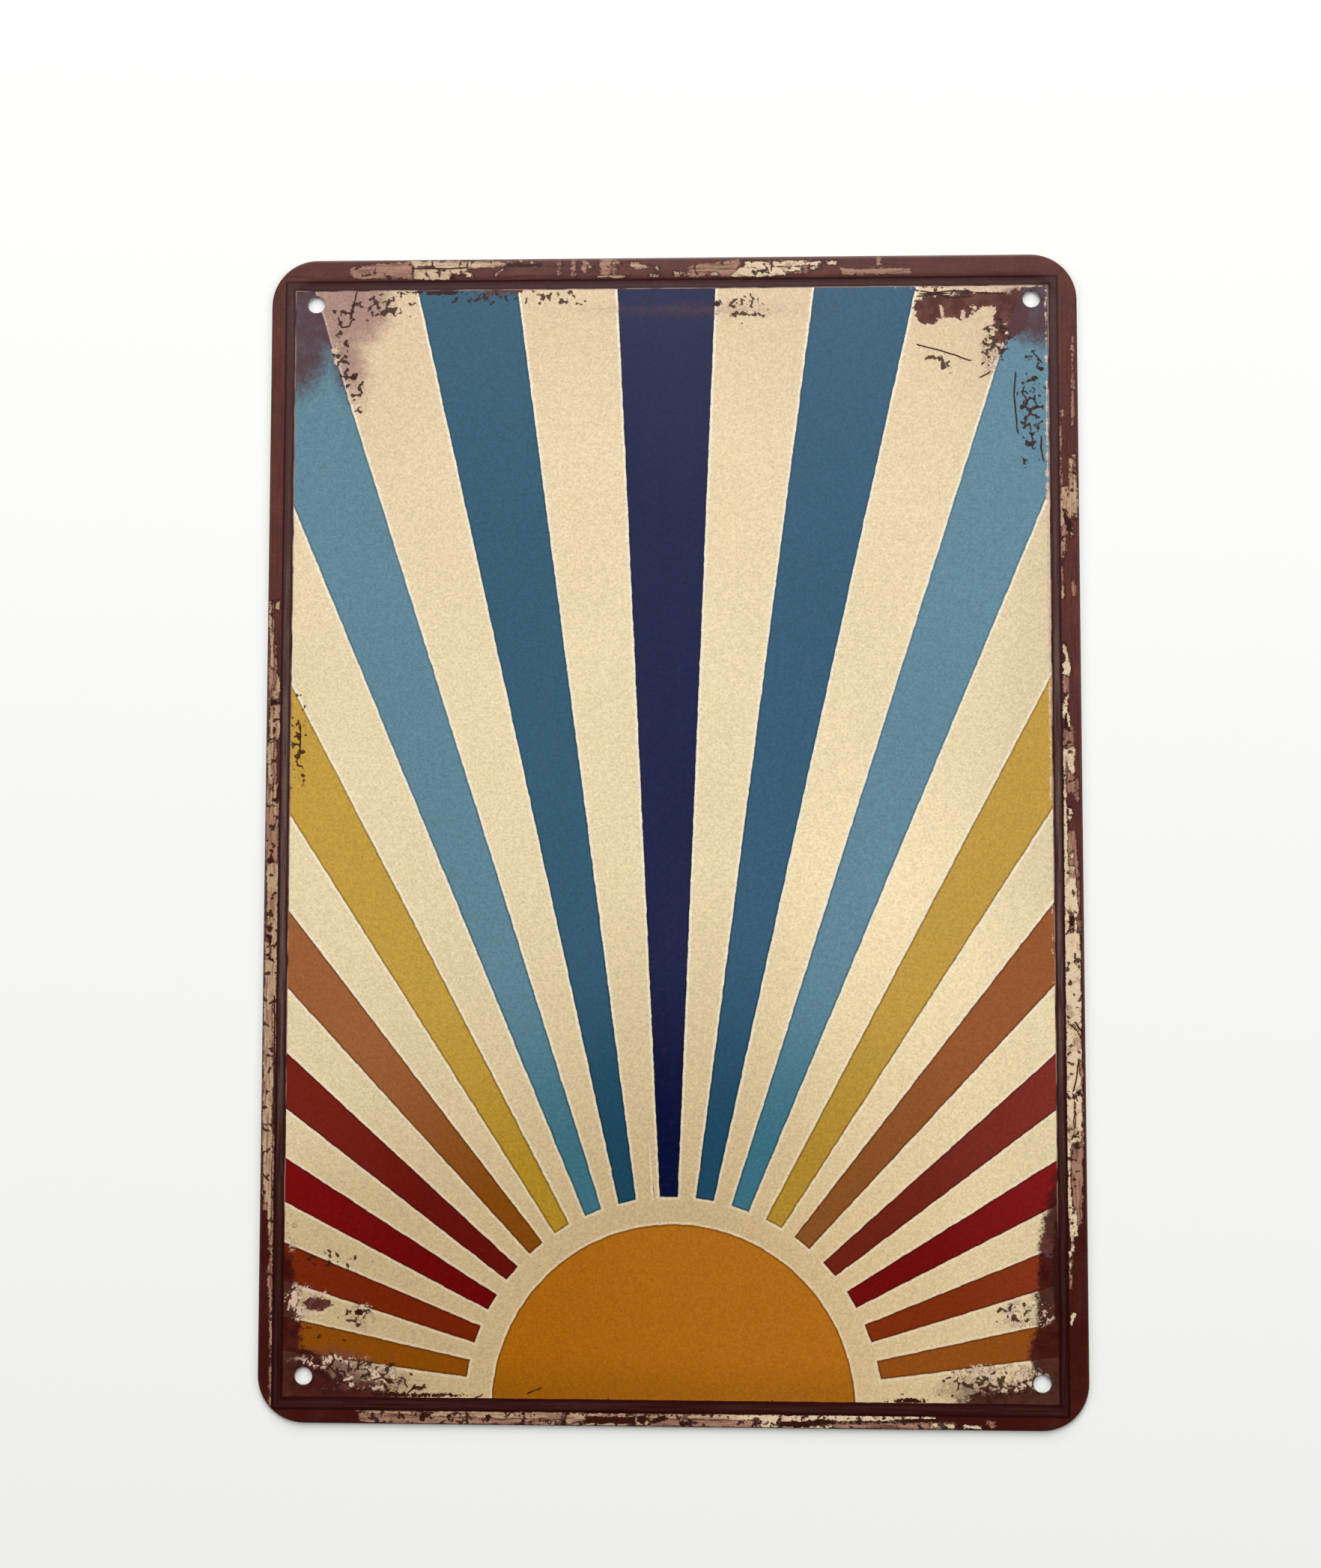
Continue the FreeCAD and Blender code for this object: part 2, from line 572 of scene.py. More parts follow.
    def build(self) -> tuple[np.ndarray, list[tuple[np.ndarray, Surface]]]:
        """Puts the border, the field's two sides and the corner patches together.

        Returns:
            The welded points and faces.
        """
        parts = MeshParts()
        self.add_border(parts)
        self.add_field(parts, Grade.FACE)
        self.add_field(parts, Grade.BACK)
        for to_right in (-1, 1):
            for to_top in (-1, 1):
                self.add_corner_patch(parts, to_right, to_top)
        points, faces = parts.weld()
        return self.wave(points), faces


@dataclass(frozen=True)
class Strip:
    """A worn strip on the rim, from start to end along a side.

    Its outer and inner lines are given in mm in from the edge, each at its start and its end.
    Taper is how fast it deepens from its ends.
    """

    start: float
    end: float
    outer: tuple[float, float]
    inner: tuple[float, float]
    taper: float = 0.45

    def depth(self, along: np.ndarray, inset: np.ndarray) -> np.ndarray:
        """How deep points are inside the strip: the least of the distances to its four sides."""
        share = np.clip((along - self.start) / (self.end - self.start), 0, 1)
        outer = self.outer[0] + (self.outer[1] - self.outer[0]) * share
        inner = self.inner[0] + (self.inner[1] - self.inner[0]) * share
        ends = np.minimum(along - self.start, self.end - along) * self.taper
        return np.minimum(ends, np.minimum(inset - outer, inner - inset))


@dataclass(frozen=True)
class Spot:
    """A worn or stained oval on the picture, turned by an angle in degrees."""

    x: float
    y: float
    half_length: float
    half_width: float
    turn: float = 0.0

    def depth(self, x: np.ndarray, y: np.ndarray) -> np.ndarray:
        """How deep points are inside the oval: (1 - its scaled radius) x its half width."""
        turn = math.radians(self.turn)
        along = (x - self.x) * math.cos(turn) + (y - self.y) * math.sin(turn)
        across = (y - self.y) * math.cos(turn) - (x - self.x) * math.sin(turn)
        scaled = np.hypot(along / self.half_length, across / self.half_width)
        return (1 - scaled) * min(self.half_length, self.half_width)


@dataclass(frozen=True)
class Crack:
    """A fine dark line on the print, through a few points."""

    points: tuple[tuple[float, float], ...]

    def distance(self, x: np.ndarray, y: np.ndarray) -> np.ndarray:
        """Distance to the line, signed by the side on which a point lies.

        Args:
            x, y: the points.

        Returns:
            The distance to the nearest stretch, positive on its left.
        """
        nearest = np.full(x.shape, np.inf)
        signed = np.full(x.shape, np.inf)
        for (x0, y0), (x1, y1) in zip(self.points, self.points[1:]):
            length = math.hypot(x1 - x0, y1 - y0)
            along = ((x - x0) * (x1 - x0) + (y - y0) * (y1 - y0)) / length
            across = ((x1 - x0) * (y - y0) - (y1 - y0) * (x - x0)) / length
            distance = np.hypot(across, np.maximum(np.maximum(-along, along - length), 0))
            closer = distance < nearest
            nearest = np.where(closer, distance, nearest)
            signed = np.where(closer, np.where(across < 0, -distance, distance), signed)
        return signed


def strips(*rows: tuple[float, ...]) -> tuple[Strip, ...]:
    """Makes strips from rows of numbers.

    Args:
        rows: start, end, outer line and inner line. Each line is one number where both run level,
            or else two, at the start and at the end.

    Returns:
        The strips.
    """
    made = []
    for start, end, *lines in rows:
        if len(lines) == 2:
            lines = [line for line in lines for _ in (start, end)]
        made.append(Strip(start, end, tuple(lines[:2]), tuple(lines[2:])))
    return tuple(made)


def spots(*rows: tuple[float, ...]) -> tuple[Spot, ...]:
    """Makes spots from rows of x, y, half length, half width and, if it is turned, its turn."""
    return tuple(Spot(*row) for row in rows)


CHIPS: dict[Side, tuple[Strip, ...]] = {
    Side.TOP: strips(
        (-67.8, -55.3, 0.5, 0.5, 1.8, 1.7), (-67.8, -58.0, 2.2, 5.3),
        (-58.4, -53.7, 2.2, 2.3, 4.8, 3.3), (-54.6, -52.6, 3.4, 4.0, 4.4, 4.9),
        (-62.0, -43.4, 0.7, 1.0, 3.0, 1.9), (-45.8, -43.8, 3.6, 2.2, 4.4, 3.0),
        (-40.0, -39.2, 0.3, 0.5, 1.1, 1.2), (-36.7, -35.8, 0.8, 1.4, 1.7, 2.3),
        (-21.6, -20.6, 2.1, 3.0), (-20.6, -16.2, 5.0, 4.5, 5.3, 5.3),
        (-16.6, -11.4, 4.5, 5.0, 5.3, 5.3), (-14.8, -13.8, 0.7, 1.8), (-10.9, -8.7, 1.2, 1.3, 2.2, 2.9),
        (-9.4, -6.1, 2.1, 1.9, 3.1, 2.7), (-4.2, -3.5, 2.3, 2.5, 3.2, 3.4),
        (-5.7, -3.3, 4.4, 4.6, 5.1, 5.2), (1.0, 1.8, 3.9, 5.0), (2.3, 3.0, 3.9, 5.0),
        (3.4, 4.4, 4.1, 5.0), (10.2, 12.2, 4.2, 5.0), (15.4, 18.0, 5.0, 2.9, 5.3, 5.3),
        (17.9, 29.5, 2.9, 3.0, 5.3, 5.1), (18.9, 26.0, 1.4, 3.0), (26.2, 35.2, 1.3, 1.2, 2.6, 2.5),
        (25.8, 34.2, 2.9, 2.9, 4.0, 3.9), (34.8, 38.6, 1.5, 2.4), (36.7, 38.7, 2.8, 3.5),
        (40.4, 42.5, 1.6, 2.3),
    ),
    Side.BOTTOM: strips(
        (-77.0, -65.8, 2.9, 2.7, 3.4, 3.4), (-62.3, -50.2, 2.2, 2.0, 3.4, 3.4),
        (-50.0, -37.4, 2.0, 1.9, 3.4, 3.4), (-36.8, -27.4, 2.0, 1.8, 3.4, 3.4),
        (-36.8, -28.0, 0.3, 0.3, 0.9, 1.0), (-26.1, -21.6, 0.6, 1.6, 3.4, 3.4),
        (-21.9, -9.0, 2.5, 2.7, 3.3, 3.3), (-22.0, -9.2, 0.2, 0.8), (-8.9, -5.5, 0.4, 1.0, 3.4, 3.4),
        (-5.4, -1.4, 2.2, 2.9, 3.4, 3.4), (-0.9, 2.7, 2.4, 2.2, 3.4, 3.4),
        (4.8, 27.0, 2.3, 2.0, 3.4, 3.4), (23.0, 27.0, 0.4, 0.3, 2.2, 2.2),
        (27.7, 41.4, 1.7, 2.4, 3.3, 3.4), (27.7, 41.0, 0.2, 0.2, 0.7, 0.8),
        (41.8, 56.0, 2.1, 2.4, 3.4, 3.4), (56.0, 66.5, 2.7, 3.0, 3.4, 3.3),
        (65.5, 70.9, 0.8, 0.8, 2.0, 1.5), (73.6, 77.6, 0.7, 0.5, 1.4, 1.2),
    ),
    Side.LEFT: strips(
        (-131.0, -123.4, 3.2, 2.9, 3.6, 3.5), (-102.8, -92.4, 2.4, 2.0, 3.0, 2.9),
        (-94.5, -75.0, 1.2, 0.4, 2.9, 3.0), (-75.0, -66.3, 0.5, 0.6, 2.9, 2.8),
        (-66.5, -42.3, 0.7, 0.5, 2.7, 2.6), (-65.5, -60.0, 2.5, 2.5, 3.5, 3.4),
        (-58.5, -42.0, 3.0, 2.9, 3.6, 3.6), (-43.2, -33.2, 0.5, 3.6),
        (-33.6, -22.0, 2.2, 2.4, 3.6, 3.6), (-31.6, -30.4, 0.4, 0.5, 1.4, 1.6),
        (-30.0, -28.6, 0.4, 0.4, 1.5, 1.0), (-26.4, -25.2, 1.0, 0.8, 2.0, 1.6),
        (-24.2, -22.8, 0.9, 0.8, 1.9, 1.9), (-22.4, -8.1, 0.9, 0.8, 3.6, 3.6),
        (4.2, 7.5, 2.5, 2.4, 3.5, 3.5), (7.2, 12.0, 0.9, 1.4, 2.4, 3.2),
        (12.2, 17.7, 0.8, 0.6, 2.2, 1.9), (17.4, 23.0, 0.4, 0.5, 2.0, 2.0),
        (22.8, 32.6, 0.9, 0.9, 2.0, 1.9), (23.5, 28.8, 2.3, 3.5), (29.3, 32.9, 2.3, 3.5),
        (34.6, 36.3, 1.6, 1.4, 3.2, 3.0), (36.2, 40.4, 2.4, 2.6, 3.5, 3.5),
        (42.4, 53.6, 1.0, 0.6, 2.0, 1.3), (53.2, 59.2, 0.4, 0.4, 1.2, 1.0), (58.3, 59.5, 2.1, 3.1),
    ),
    Side.RIGHT: strips(
        (-124.0, -121.0, 4.3, 3.4, 4.8, 4.4), (-110.5, -105.6, 4.2, 4.3, 4.9, 4.9),
        (-104.9, -94.8, 3.4, 4.0, 4.0, 4.9), (-96.0, -78.0, 4.1, 4.2, 4.9, 4.9),
        (-101.6, -95.4, 2.5, 2.8, 3.3, 3.7), (-78.2, -75.0, 1.4, 4.9),
        (-75.0, -65.6, 1.1, 1.2, 2.7, 2.7), (-75.0, -65.6, 3.2, 4.9),
        (-65.8, -57.0, 1.2, 2.2, 4.9, 4.9), (-57.4, -26.0, 1.1, 1.2, 4.9, 4.9),
        (-26.2, -22.6, 1.6, 1.8, 2.6, 2.5), (-21.6, -20.4, 1.6, 2.6), (-26.4, -20.2, 3.8, 4.9),
        (-20.6, -9.0, 1.4, 2.4, 4.9, 4.9), (-9.4, 10.0, 4.1, 4.2, 4.9, 4.9), (-6.4, -5.4, 2.6, 3.5),
        (2.9, 4.2, 2.9, 3.7), (4.8, 6.1, 2.7, 3.6), (10.0, 18.5, 4.4, 4.3, 4.9, 4.9),
        (15.0, 19.5, 2.2, 2.8), (15.5, 19.5, 3.1, 3.7), (18.7, 21.5, 2.0, 4.9),
        (26.7, 30.0, 3.0, 3.2, 3.6, 3.7), (29.6, 33.0, 3.9, 3.5, 4.9, 4.9),
        (33.0, 35.4, 4.2, 2.8, 4.9, 3.6), (40.4, 43.6, 2.9, 4.8), (43.6, 47.9, 3.0, 3.9, 3.8, 4.8),
        (60.3, 62.7, 4.2, 4.9), (69.0, 75.3, 4.2, 3.6, 4.9, 4.9), (76.0, 78.8, 1.6, 1.7, 2.4, 2.4),
        (77.8, 83.2, 4.6, 3.5, 4.9, 4.9), (80.8, 88.0, 0.5, 0.4, 3.1, 3.0), (82.8, 89.0, 2.9, 4.9),
        (88.2, 96.4, 0.8, 1.4), (88.2, 96.0, 1.7, 1.6, 2.6, 2.5), (96.3, 97.3, 0.8, 1.8),
    ),
}

RUBS: dict[Side, tuple[Strip, ...]] = {
    Side.TOP: strips(
        (-84.0, -68.0, 1.8, 0.5, 5.0, 5.2), (-56.0, -42.0, 0.2, 0.8, 2.6, 2.0),
        (-26.2, -25.2, 0.2, 5.3), (-23.0, -22.2, 0.3, 4.0), (-29.6, -29.0, 0.3, 4.6),
        (-19.0, -15.9, 0.2, 5.2), (-15.6, -14.6, 0.3, 5.0), (4.0, 17.6, 2.4, 0.8, 5.2, 5.2),
        (25.0, 36.0, 0.9, 1.0, 4.6, 4.4), (44.0, 62.0, 3.4, 3.6, 5.0, 5.1),
        (53.4, 54.4, 0.3, 0.4, 2.4, 3.0),
    ),
    Side.BOTTOM: strips(
        (-79.0, -64.5, 0.6, 0.2, 3.3, 3.5), (-65.0, -37.4, 0.3, 3.4), (-36.8, -21.6, 0.3, 3.4),
        (-9.0, -5.4, 0.3, 3.4), (-5.4, 27.0, 0.3, 3.3), (34.6, 57.0, 0.3, 0.3, 3.3, 3.2),
        (56.0, 71.0, 0.3, 0.3, 2.7, 1.9), (79.0, 80.7, 1.6, 1.0, 2.9, 2.4),
    ),
    Side.LEFT: strips(
        (-146.0, -130.0, 3.2, 3.1, 3.6, 3.5), (-123.4, -111.0, 2.9, 2.2, 3.6, 3.5),
        (-112.0, -92.0, 2.7, 2.0, 3.5, 3.5), (-97.0, -66.0, 1.0, 0.3, 3.4, 3.4),
        (-66.8, -42.0, 0.4, 3.5), (-33.8, -22.0, 0.6, 2.3), (-9.0, 7.6, 0.3, 3.5),
        (7.0, 24.0, 0.4, 0.4, 3.2, 2.6), (32.0, 48.0, 0.7, 0.6, 2.8, 2.4),
        (46.0, 58.6, 0.6, 0.4, 2.3, 1.4),
    ),
    Side.RIGHT: strips(
        (-115.0, -105.0, 4.0, 4.9), (-99.0, -78.0, 1.6, 0.9, 3.6, 4.2), (-78.4, -57.0, 0.9, 4.9),
        (-26.0, -8.8, 1.0, 1.2, 4.9, 4.9), (-9.0, 0.0, 1.4, 2.2, 4.3, 4.3), (8.0, 13.6, 1.1, 2.1),
        (10.0, 20.0, 2.1, 1.8, 4.3, 4.3), (21.3, 26.8, 2.1, 2.0, 4.9, 4.9),
        (35.0, 44.0, 3.2, 3.0, 4.6, 4.6), (60.6, 65.0, 1.0, 1.4, 2.0, 2.2),
        (62.5, 69.4, 4.4, 4.3, 4.9, 4.9), (72.0, 82.0, 3.6, 3.0, 4.9, 4.9), (88.0, 97.0, 0.8, 2.8),
        (88.6, 96.4, 4.3, 4.9), (98.6, 105.6, 4.3, 4.9), (105.2, 130.0, 1.2, 1.1, 1.8, 1.6),
        (107.0, 109.0, 3.9, 4.8),
    ),
}

BLOTS: dict[Side, tuple[Strip, ...]] = {
    Side.TOP: strips(
        (-57.9, -56.9, 3.6, 3.8, 5.2, 5.2), (-43.0, -34.0, 1.2, 1.4, 2.2, 2.4), (20.8, 21.8, 3.5, 4.3),
        (22.2, 23.0, 3.4, 4.2), (23.4, 24.4, 3.6, 4.4),
    ),
    Side.BOTTOM: strips(
        (-63.4, -62.4, 0.9, 2.9), (-61.3, -60.4, 1.7, 1.5, 3.1, 3.1), (-56.4, -55.3, 0.9, 2.7),
        (-53.2, -52.4, 1.3, 3.0), (-46.5, -45.7, 1.0, 2.7), (-37.5, -36.8, 0.2, 3.4),
        (-27.4, -26.1, 0.4, 1.8), (-21.8, -9.1, 0.9, 1.4, 1.6, 2.5), (-8.3, -6.1, 1.0, 2.9),
        (-5.9, -1.1, 0.3, 2.1, 1.5, 3.3), (2.7, 4.8, 0.4, 0.6, 2.2, 2.0),
        (19.6, 23.2, 0.2, 1.3, 0.8, 2.1), (26.9, 27.7, 1.2, 3.4), (27.6, 35.2, 0.4, 0.4, 1.8, 1.5),
        (34.8, 41.6, 1.0, 1.2, 2.4, 2.4), (41.8, 56.2, 1.4, 1.7, 2.0, 2.3),
        (56.0, 67.0, 2.1, 1.9, 2.7, 2.6),
    ),
    Side.LEFT: strips(
        (-108.2, -107.2, 2.2, 2.0, 3.6, 3.6), (-33.4, -31.8, 2.0, 0.8, 2.9, 1.6),
        (-28.4, -26.6, 0.8, 0.9, 2.0, 2.0), (-8.3, -7.3, 1.0, 3.6), (-7.4, -4.6, 1.4, 1.6, 2.2, 2.2),
        (7.4, 8.4, 1.8, 3.2), (32.9, 34.6, 1.4, 3.2),
    ),
    Side.RIGHT: strips(
        (-77.0, -75.6, 1.9, 3.6), (-66.4, -65.4, 1.2, 3.0), (-24.7, -21.4, 2.6, 2.5, 3.8, 3.7),
        (26.8, 30.2, 3.7, 3.8, 4.5, 4.3), (43.4, 45.6, 3.8, 4.0, 4.7, 4.8),
        (77.2, 83.0, 1.8, 3.5, 3.1, 4.5),
    ),
}

CRACKS = tuple(
    Crack(points)
    for points in (
        ((-82.5, 141.4), (-83.1, 138.0), (-83.9, 134.8)),
        ((-87.2, 134.8), (-86.4, 132.4), (-84.8, 132.6), (-84.2, 134.2)),
        ((64.0, 126.6), (70.0, 125.0), (77.4, 122.4)),
        ((80.0, 118.0), (82.1, 119.1)),
        ((89.3, 118.8), (88.8, 113.3), (89.3, 108.0), (89.6, 102.6)),
        ((91.4, 115.0), (91.0, 113.4), (91.9, 112.4), (92.1, 111.0)),
        ((92.9, 104.8), (93.5, 100.8), (95.6, 99.2), (96.3, 95.2)),
        ((94.4, 103.0), (95.5, 102.8), (95.9, 101.4), (94.9, 100.8)),
        ((93.8, 124.3), (95.9, 121.8)),
        ((-80.2, -136.6), (-79.4, -135.3), (-77.9, -134.6)),
        ((-75.4, -138.8), (-73.0, -138.2), (-70.3, -139.6)),
        ((-101.9, -75.0), (-101.9, -58.0), (-102.1, -42.5)),
        ((-101.0, 12.5), (-101.4, 10.0), (-101.6, 7.5)),
        ((-67.8, 147.8), (-58.0, 147.7), (-53.6, 147.9)),
        ((-62.6, 150.0), (-62.4, 147.9)),
        ((26.4, 148.8), (26.2, 146.4)),
        ((103.5, -51.9), (102.6, -50.4), (101.2, -49.0)),
        ((104.0, -50.6), (103.2, -49.8), (102.4, -48.4)),
        ((101.6, -65.2), (102.3, -62.0), (102.9, -58.0)),
        ((-86.0, -132.4), (-85.0, -134.0), (-86.2, -135.8), (-84.8, -137.4)),
        ((-52.6, 141.6), (-52.2, 139.4)),
        ((-97.4, 29.5), (-95.8, 29.2), (-95.9, 20.4), (-97.2, 20.0)),
        ((63.6, 141.0), (68.0, 140.3), (74.0, 140.9), (80.0, 140.2), (86.0, 140.0)),
        ((64.0, 139.4), (69.0, 139.8), (73.0, 138.9), (78.0, 139.4)),
        ((-16.0, -143.0), (-16.3, -141.2)),
        ((25.4, -143.0), (24.8, -140.4)),
        ((-36.8, -142.2), (-35.4, -141.3)),
        ((-34.6, -140.9), (-32.2, -140.3)),
        ((-49.6, -143.0), (-47.4, -142.2)),
        ((-67.2, -139.6), (-66.0, -141.4), (-64.4, -140.4), (-62.8, -140.8)),
        ((-66.6, -142.0), (-65.0, -140.2)),
    )
)


@dataclass(frozen=True)
class PrintWear:
    """Where the print is chipped, rubbed, stained, blotted, cracked or specked.

    Every kind is a depth in mm, positive inside the worn place. The strips lie on the rim, the
    spots on the picture.
    """

    sizes: SheetSizes
    far: float = 3.0
    crack_reach: float = 0.7
    stains: tuple[Spot, ...] = spots(
        (70.6, 136.4, 8.2, 3.2), (66.6, 134.7, 3.2, 2.9), (75.0, 135.4, 3.6, 2.4),
        (82.0, 138.2, 14.0, 2.0), (88.2, 134.0, 4.4, 6.6, -17.0), (85.8, 129.0, 1.6, 3.6, -17.0),
        (-90.2, -120.2, 3.6, 1.7), (-80.0, -140.6, 6.0, 0.9, 4.0), (-70.6, -139.2, 3.0, 0.6),
        (94.6, -104.0, 1.6, 3.0), (-44.0, 141.8, 6.6, 0.9), (-47.2, 140.6, 0.8, 2.4),
    )
    veils: tuple[Spot, ...] = spots(
        (-88.0, 137.5, 14.0, 12.0), (-85.0, 124.0, 4.2, 10.0, 15.0), (-98.0, 132.0, 9.0, 17.0),
        (95.5, 138.0, 10.0, 11.6), (-87.0, -138.6, 11.0, 6.0), (-76.0, -140.4, 6.0, 1.6),
        (76.0, -140.2, 6.0, 2.0), (7.0, 136.0, 4.0, 0.3),
    )
    shades: tuple[Spot, ...] = spots(
        (-101.4, -127.4, 7.3, 23.0), (-94.0, -147.4, 30.0, 9.4), (-95.6, -140.0, 9.6, 9.0),
        (101.0, -120.0, 9.0, 36.0), (98.2, -131.0, 7.8, 10.0), (97.0, -141.0, 8.6, 8.0),
        (90.0, -146.4, 20.0, 7.6),
    )
    flakes: tuple[Spot, ...] = spots(
        (-95.0, -119.8, 3.4, 4.6), (-91.0, -117.4, 4.0, 1.6, -14.0), (-78.2, -122.8, 2.6, 3.6, 20.0),
        (-86.0, -134.6, 9.0, 1.8), (-76.0, -138.2, 9.0, 3.4), (89.8, -121.2, 6.4, 3.6),
        (82.0, -137.0, 12.0, 3.6), (-87.6, 124.4, 1.2, 3.4, 16.0), (83.8, 126.4, 2.8, 7.4, -14.0),
        (-96.8, -102.6, 1.3, 4.0),
    )
    blots: tuple[Spot, ...] = spots(
        (-83.6, 134.3, 0.8, 0.6), (-83.3, 118.8, 0.9, 0.7), (95.6, 119.9, 0.8, 0.7),
        (60.0, -142.8, 4.6, 0.6), (-66.0, -142.7, 12.0, 0.5), (97.2, -112.0, 0.9, 14.0),
        (-79.1, -122.1, 1.0, 0.7), (61.2, -140.6, 0.9, 0.9), (11.6, 137.6, 1.4, 0.8),
        (-62.4, 141.2, 7.0, 0.5),
    )
    pale_spots: tuple[Spot, ...] = spots(
        (-88.4, 125.9, 0.9, 0.7), (-87.6, 123.1, 0.8, 0.8), (70.2, 134.6, 0.5, 2.2, 8.0),
        (75.6, 134.0, 0.5, 1.8, -6.0), (80.0, 141.7, 17.0, 0.45), (76.0, 140.2, 8.0, 0.4, 4.0),
        (-95.9, -119.2, 0.8, 2.4), (-91.6, -117.0, 3.0, 0.5, -14.0), (-91.6, -122.6, 3.6, 0.5),
        (96.95, 60.0, 0.3, 70.0),
    )
    specked: tuple[Spot, ...] = spots(
        (-84.6, 120.0, 3.6, 14.0, 15.0), (-86.4, 134.6, 4.0, 4.0), (-76.0, 137.4, 9.0, 4.6),
        (-50.0, 139.8, 22.0, 2.6), (-29.5, 139.8, 9.0, 3.4), (19.0, 136.6, 8.0, 4.4),
        (71.0, 121.8, 6.0, 3.0), (72.4, 140.4, 12.0, 2.4), (83.6, 127.0, 4.4, 9.0, -16.0),
        (93.0, 110.0, 4.0, 18.0), (-86.0, -109.0, 10.0, 3.4), (-80.0, -123.0, 5.0, 4.0),
        (-89.0, -128.0, 9.0, 1.7, -12.0), (-79.0, -137.6, 14.0, 5.0), (-63.0, -140.6, 4.6, 2.0),
        (87.0, -121.0, 8.0, 3.6), (80.0, -139.0, 15.0, 4.4), (62.0, -141.0, 7.0, 1.6),
        (-97.0, 24.0, 3.4, 14.0),
    )

    def rim_depth(
        self, worn: dict[Side, tuple[Strip, ...]], x: np.ndarray, y: np.ndarray
    ) -> np.ndarray:
        """The greatest depth of any strip, over the four sides.

        Args:
            worn: the strips by side.
            x, y: the points.

        Returns:
            The depth at each point.
        """
        half_width, half_height = self.sizes.width / 2, self.sizes.height / 2
        places = {
            Side.TOP: (x, half_height - y),
            Side.BOTTOM: (x, half_height + y),
            Side.LEFT: (y, half_width + x),
            Side.RIGHT: (y, half_width - x),
        }
        depth = np.full(x.shape, -self.far)
        for side, row in worn.items():
            for strip in row:
                depth = np.maximum(depth, strip.depth(*places[side]))
        return depth

    def spot_depth(self, worn: tuple[Spot, ...], x: np.ndarray, y: np.ndarray) -> np.ndarray:
        """The greatest depth of any of these spots."""
        return np.max([spot.depth(x, y) for spot in worn] + [np.full(x.shape, -self.far)], axis=0)

    def fields(self, points: np.ndarray) -> dict[Wear, np.ndarray]:
        """Works out every kind of wear at the sheet's points; only the upper face is worn.

        Args:
            points: the sheet's points.

        Returns:
            One array for each kind.
        """
        x, y, z = points.T
        signed = np.full(x.shape, self.far)
        for crack in CRACKS:
            distance = crack.distance(x, y)
            signed = np.where(np.abs(distance) < np.abs(signed), distance, signed)
        middle_of_step = self.sizes.rim_width + self.sizes.step_width / 2
        on_picture = self.sizes.inset(x, y) > middle_of_step
        pale = np.where(on_picture, self.spot_depth(self.pale_spots, x, y), -self.far)
        blotted = np.maximum(self.rim_depth(BLOTS, x, y), self.spot_depth(self.blots, x, y))
        worn = {
            Wear.CHIPPED: np.maximum(self.rim_depth(CHIPS, x, y), pale),
            Wear.RUBBED: self.rim_depth(RUBS, x, y),
            Wear.STAINED: self.spot_depth(self.stains, x, y),
            Wear.VEILED: self.spot_depth(self.veils, x, y),
            Wear.SHADED: self.spot_depth(self.shades, x, y),
            Wear.FLAKED: self.spot_depth(self.flakes, x, y),
            Wear.BLOTTED: blotted,
            Wear.CRACKED: signed,
            Wear.NEAR_CRACK: self.crack_reach - np.abs(signed),
            Wear.SPECKED: self.spot_depth(self.specked, x, y),
        }
        upper = z > self.sizes.fold_radius
        return {kind: np.where(upper, depth, -self.far) for kind, depth in worn.items()}


